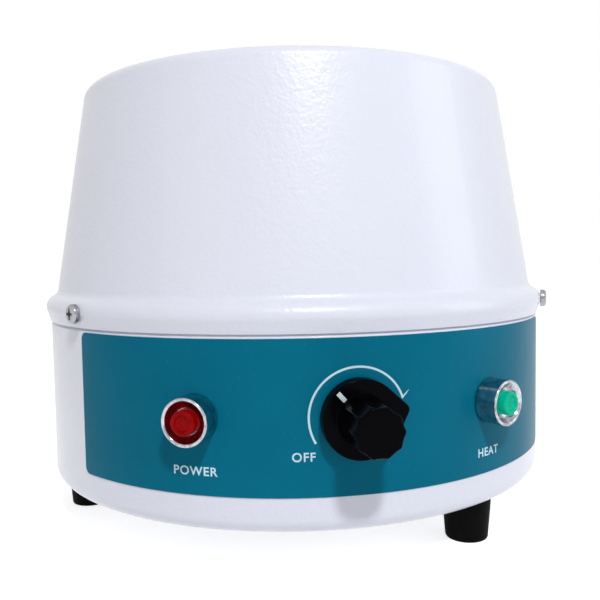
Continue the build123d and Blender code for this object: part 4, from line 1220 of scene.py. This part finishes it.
def grid_piece(name, radius, height, turn):
    """A closed bowl from rows of radii and heights round the axis, with both ends drawn to a point."""
    rows, columns = radius.shape
    points = np.stack([radius * np.sin(turn), -radius * np.cos(turn), height], axis=2).reshape(-1, 3)
    ends = np.array([(0, 0, height[0].mean()), (0, 0, height[-1].mean())])
    index = np.arange(rows * columns).reshape(rows, columns)
    after = np.roll(index, -1, axis=1)
    quads = np.stack([index[:-1], after[:-1], after[1:], index[1:]], axis=2).reshape(-1, 4)
    first, last = rows * columns, rows * columns + 1
    faces = [tuple(face) for face in quads.tolist()]
    faces += [(int(b), int(a), first) for a, b in zip(index[0], after[0])]
    faces += [(int(a), int(b), last) for a, b in zip(index[-1], after[-1])]
    mesh = bpy.data.meshes.new(name)
    mesh.from_pydata(np.vstack([points, ends]).tolist(), [], faces)
    piece = bpy.data.objects.new(name, mesh)
    bpy.context.scene.collection.objects.link(piece)
    return settle(piece)


# ---------------------------------------------------------------- the stage
FLOOR_GREY, FLOOR_GLOW = 0.90, 0.73
SOFT_LIGHT, SOFT_TONE = 0.32, (1.0, 0.995, 0.985)
LAMPS = {
    "key": {"place": (0.0, -1.05, 1.12), "aim": (0, 0, 0.07), "size": (0.13, 0.13), "power": 10.8,
            "tone": (0.98, 0.985, 1.0)},
    "side_fill": {"place": (1.05, -0.45, 0.40), "aim": (0, 0, 0.1), "size": (0.5, 0.8), "power": 1.9,
                  "tone": (0.86, 0.93, 1.0)},
    "left_fill": {"place": (-1.0, -0.70, 0.30), "aim": (0, 0, 0.1), "size": (0.7, 0.7), "power": 0.5,
                  "tone": (1, 1, 1)},
}


def pale_ground(name):
    """Diffuse ground with a glow where it is looked at, so that it is white but for the shadow."""
    material = bpy.data.materials.new(name)
    material.use_nodes = True
    tree = material.node_tree
    tree.nodes.clear()
    diffuse = add(tree, "ShaderNodeBsdfDiffuse", Color=(*[FLOOR_GREY] * 3, 1))
    glow = add(tree, "ShaderNodeEmission", Strength=FLOOR_GLOW)
    both = add(tree, "ShaderNodeAddShader")
    choose = add(tree, "ShaderNodeMixShader")
    out = add(tree, "ShaderNodeOutputMaterial")
    wire(tree, diffuse.outputs[0], both.inputs[0])
    wire(tree, glow.outputs[0], both.inputs[1])
    wire(tree, looked_at(tree), choose.inputs[0])
    wire(tree, diffuse.outputs[0], choose.inputs[1])
    wire(tree, both.outputs[0], choose.inputs[2])
    wire(tree, choose.outputs[0], out.inputs["Surface"])
    return material


def floor():
    deselect()
    bpy.ops.mesh.primitive_grid_add(x_subdivisions=4, y_subdivisions=4, size=12)
    piece = bpy.context.object
    piece.name = "floor"
    piece.data.materials.append(pale_ground("pale_floor"))


def white_surround():
    """World that lights softly, and is white where it is looked at."""
    world = bpy.data.worlds.new("surround")
    bpy.context.scene.world = world
    world.use_nodes = True
    tree = world.node_tree
    tree.nodes.clear()
    lit = add(tree, "ShaderNodeBackground", Color=(*SOFT_TONE, 1), Strength=SOFT_LIGHT)
    seen = add(tree, "ShaderNodeBackground", Color=(1, 1, 1, 1), Strength=1.0)
    choose = add(tree, "ShaderNodeMixShader")
    out = add(tree, "ShaderNodeOutputWorld")
    wire(tree, looked_at(tree), choose.inputs[0])
    wire(tree, lit.outputs[0], choose.inputs[1])
    wire(tree, seen.outputs[0], choose.inputs[2])
    wire(tree, choose.outputs[0], out.inputs["Surface"])


def area_lamp(name, place, aim, size, power, tone):
    deselect()
    bpy.ops.object.light_add(type="AREA", location=place)
    lamp = bpy.context.object
    lamp.name = name
    lamp.data.shape = "RECTANGLE"
    lamp.data.size, lamp.data.size_y = size
    lamp.data.energy = power
    lamp.data.color = tone
    lamp.rotation_euler = (Vector(aim) - Vector(place)).to_track_quat("-Z", "Y").to_euler()


CAMERA_PLACE = Vector((-69.8, -366.1, 119.2)) * MM
CAMERA_ROUND, CAMERA_YAW = math.radians(-10.8), math.radians(0.466)
CAMERA_PITCH, CAMERA_ROLL = math.radians(3.46), math.radians(-0.979)
CAMERA_LENS = 42.82


def camera():
    """Camera a little left of the front and just above the panel, looking slightly down."""
    deselect()
    bpy.ops.object.camera_add(location=CAMERA_PLACE)
    made = bpy.context.object
    made.name = "camera"
    made.data.lens, made.data.sensor_width = CAMERA_LENS, 36.0
    made.data.clip_start, made.data.clip_end = 0.01, 50
    level = math.cos(CAMERA_PITCH)
    forward = Vector((math.sin(CAMERA_YAW) * level, math.cos(CAMERA_YAW) * level, -math.sin(CAMERA_PITCH)))
    level_right = forward.cross(Vector((0, 0, 1))).normalized()
    level_up = level_right.cross(forward)
    right = math.cos(CAMERA_ROLL) * level_right + math.sin(CAMERA_ROLL) * level_up
    up = -math.sin(CAMERA_ROLL) * level_right + math.cos(CAMERA_ROLL) * level_up
    facing = Matrix.Rotation(CAMERA_ROUND, 3, "Z") @ Matrix((right, up, -forward)).transposed()
    made.rotation_euler = facing.to_euler()
    bpy.context.scene.camera = made


# ---------------------------------------------------------------- operators
class MANTLE_OT_housing(bpy.types.Operator):
    """Spins the upper housing"""
    bl_idname = "mantle.housing"
    bl_label = "Upper housing"

    def execute(self, context):
        upper_housing(context.scene.mantle_shell, finishes(context.scene.mantle_colours)["white_enamel"])
        return {"FINISHED"}


class MANTLE_OT_drum(bpy.types.Operator):
    """Spins the base drum and cuts its holes"""
    bl_idname = "mantle.drum"
    bl_label = "Base drum"

    def execute(self, context):
        scene = context.scene
        base_drum(scene.mantle_shell, scene.mantle_controls, finishes(scene.mantle_colours)["white_enamel"])
        return {"FINISHED"}


class MANTLE_OT_panel(bpy.types.Operator):
    """Makes the printed plate, its words and its heat scale"""
    bl_idname = "mantle.panel"
    bl_label = "Control panel"

    def execute(self, context):
        shell, controls = context.scene.mantle_shell, context.scene.mantle_controls
        slots = finishes(context.scene.mantle_colours)
        ink = slots["ink"]
        printed_panel(shell, controls, slots["panel_film"])
        for text, name, turn, height, wide in WORDS:
            printed_word(text, name, math.radians(turn), height * MM, wide * MM, shell, controls, ink)
        heat_scale(shell, controls, ink)
        return {"FINISHED"}


class MANTLE_OT_lamps(bpy.types.Operator):
    """Makes the two pilot lamps"""
    bl_idname = "mantle.lamps"
    bl_label = "Pilot lamps"

    def execute(self, context):
        shell, controls = context.scene.mantle_shell, context.scene.mantle_controls
        slots = finishes(context.scene.mantle_colours)
        for name, turn, lens in zip(("power", "heat"), lamp_turns(controls), ("red_lens", "green_lens")):
            lamp_bezel(name, turn, shell, controls, slots["chrome"])
            lamp_lens(name, turn, shell, controls, slots[lens])
        return {"FINISHED"}


class MANTLE_OT_knob(bpy.types.Operator):
    """Makes the control knob and its pointer line"""
    bl_idname = "mantle.knob"
    bl_label = "Control knob"

    def execute(self, context):
        shell, controls = context.scene.mantle_shell, context.scene.mantle_controls
        slots = finishes(context.scene.mantle_colours)
        control_knob(shell, controls, slots["black_knob"])
        pointer_line(shell, controls, slots["pointer_paint"])
        return {"FINISHED"}


class MANTLE_OT_feet(bpy.types.Operator):
    """Makes the three rubber feet"""
    bl_idname = "mantle.feet"
    bl_label = "Feet"

    def execute(self, context):
        for name in FEET:
            rubber_foot(name, finishes(context.scene.mantle_colours)["black_rubber"])
        return {"FINISHED"}


class MANTLE_OT_nest(bpy.types.Operator):
    """Knits the heating nest"""
    bl_idname = "mantle.nest"
    bl_label = "Heating nest"

    def execute(self, context):
        knitted_nest(context.scene.mantle_nest, finishes(context.scene.mantle_colours)["glass_yarn"])
        return {"FINISHED"}


# Width in millimetres of the bevel on each fitting's edges.
BROKEN_EDGES = {"housing_screws": 0.08, "foot_screws": 0.08, "earth_screw": 0.08, "cable_gland_body": 0.3,
                "cable_gland_cap": 0.3, "cable_gland_seal": 0.15}


class MANTLE_OT_fittings(bpy.types.Operator):
    """Smooths and finishes the screws and the cable gland that can be seen outside"""
    bl_idname = "mantle.fittings"
    bl_label = "Outer fittings"

    def execute(self, context):
        slots = finishes(context.scene.mantle_colours)
        for node, bevel in BROKEN_EDGES.items():
            slot = NODE_SLOTS[node]
            piece = finished_copy(node, node + "_finished", 30, bevel * MM)
            finish(piece, BODY, slot, slots[slot], node)
        return {"FINISHED"}


class MANTLE_OT_inner_pieces(bpy.types.Operator):
    """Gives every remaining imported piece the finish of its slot"""
    bl_idname = "mantle.inner_pieces"
    bl_label = "Inner pieces"

    def execute(self, context):
        slots = finishes(context.scene.mantle_colours)
        for name, piece in frame["nodes"].items():
            if piece.hide_render:
                continue
            slot = NODE_SLOTS[name]
            for index in range(len(piece.material_slots)):
                piece.material_slots[index].material = slots[slot]
            if not piece.material_slots:
                piece.data.materials.append(slots[slot])
        return {"FINISHED"}


class MANTLE_OT_stage(bpy.types.Operator):
    """Sets the floor, the surround, the lamps and the camera"""
    bl_idname = "mantle.stage"
    bl_label = "Stage"

    def execute(self, context):
        floor()
        white_surround()
        for name, values in LAMPS.items():
            area_lamp(name, **values)
        camera()
        context.scene.view_settings.view_transform = "Standard"
        return {"FINISHED"}


class MANTLE_PT_panel(bpy.types.Panel):
    """Lists the pieces in the 3D view's sidebar"""
    bl_idname = "MANTLE_PT_panel"
    bl_label = "Heating mantle"
    bl_space_type = "VIEW_3D"
    bl_region_type = "UI"
    bl_category = "Mantle"

    def draw(self, context):
        for made in OPERATORS:
            self.layout.operator(made.bl_idname)
        for name, group in GROUPS.items():
            box = self.layout.box()
            for key in group.__annotations__:
                box.prop(getattr(context.scene, name), key)


OPERATORS = (MANTLE_OT_housing, MANTLE_OT_drum, MANTLE_OT_panel, MANTLE_OT_lamps, MANTLE_OT_knob,
             MANTLE_OT_feet, MANTLE_OT_nest, MANTLE_OT_fittings, MANTLE_OT_inner_pieces, MANTLE_OT_stage)


def register():
    for name, group in GROUPS.items():
        bpy.utils.register_class(group)
        setattr(bpy.types.Scene, name, bpy.props.PointerProperty(type=group))
    for made in (*OPERATORS, MANTLE_PT_panel):
        bpy.utils.register_class(made)


def unregister():
    for made in (MANTLE_PT_panel, *reversed(OPERATORS)):
        bpy.utils.unregister_class(made)
    for name, group in GROUPS.items():
        delattr(bpy.types.Scene, name)
        bpy.utils.unregister_class(group)


def main():
    register()
    for made in OPERATORS:
        folder, name = made.bl_idname.split(".")
        getattr(getattr(bpy.ops, folder), name)()


if __name__ == "__main__":
    main()
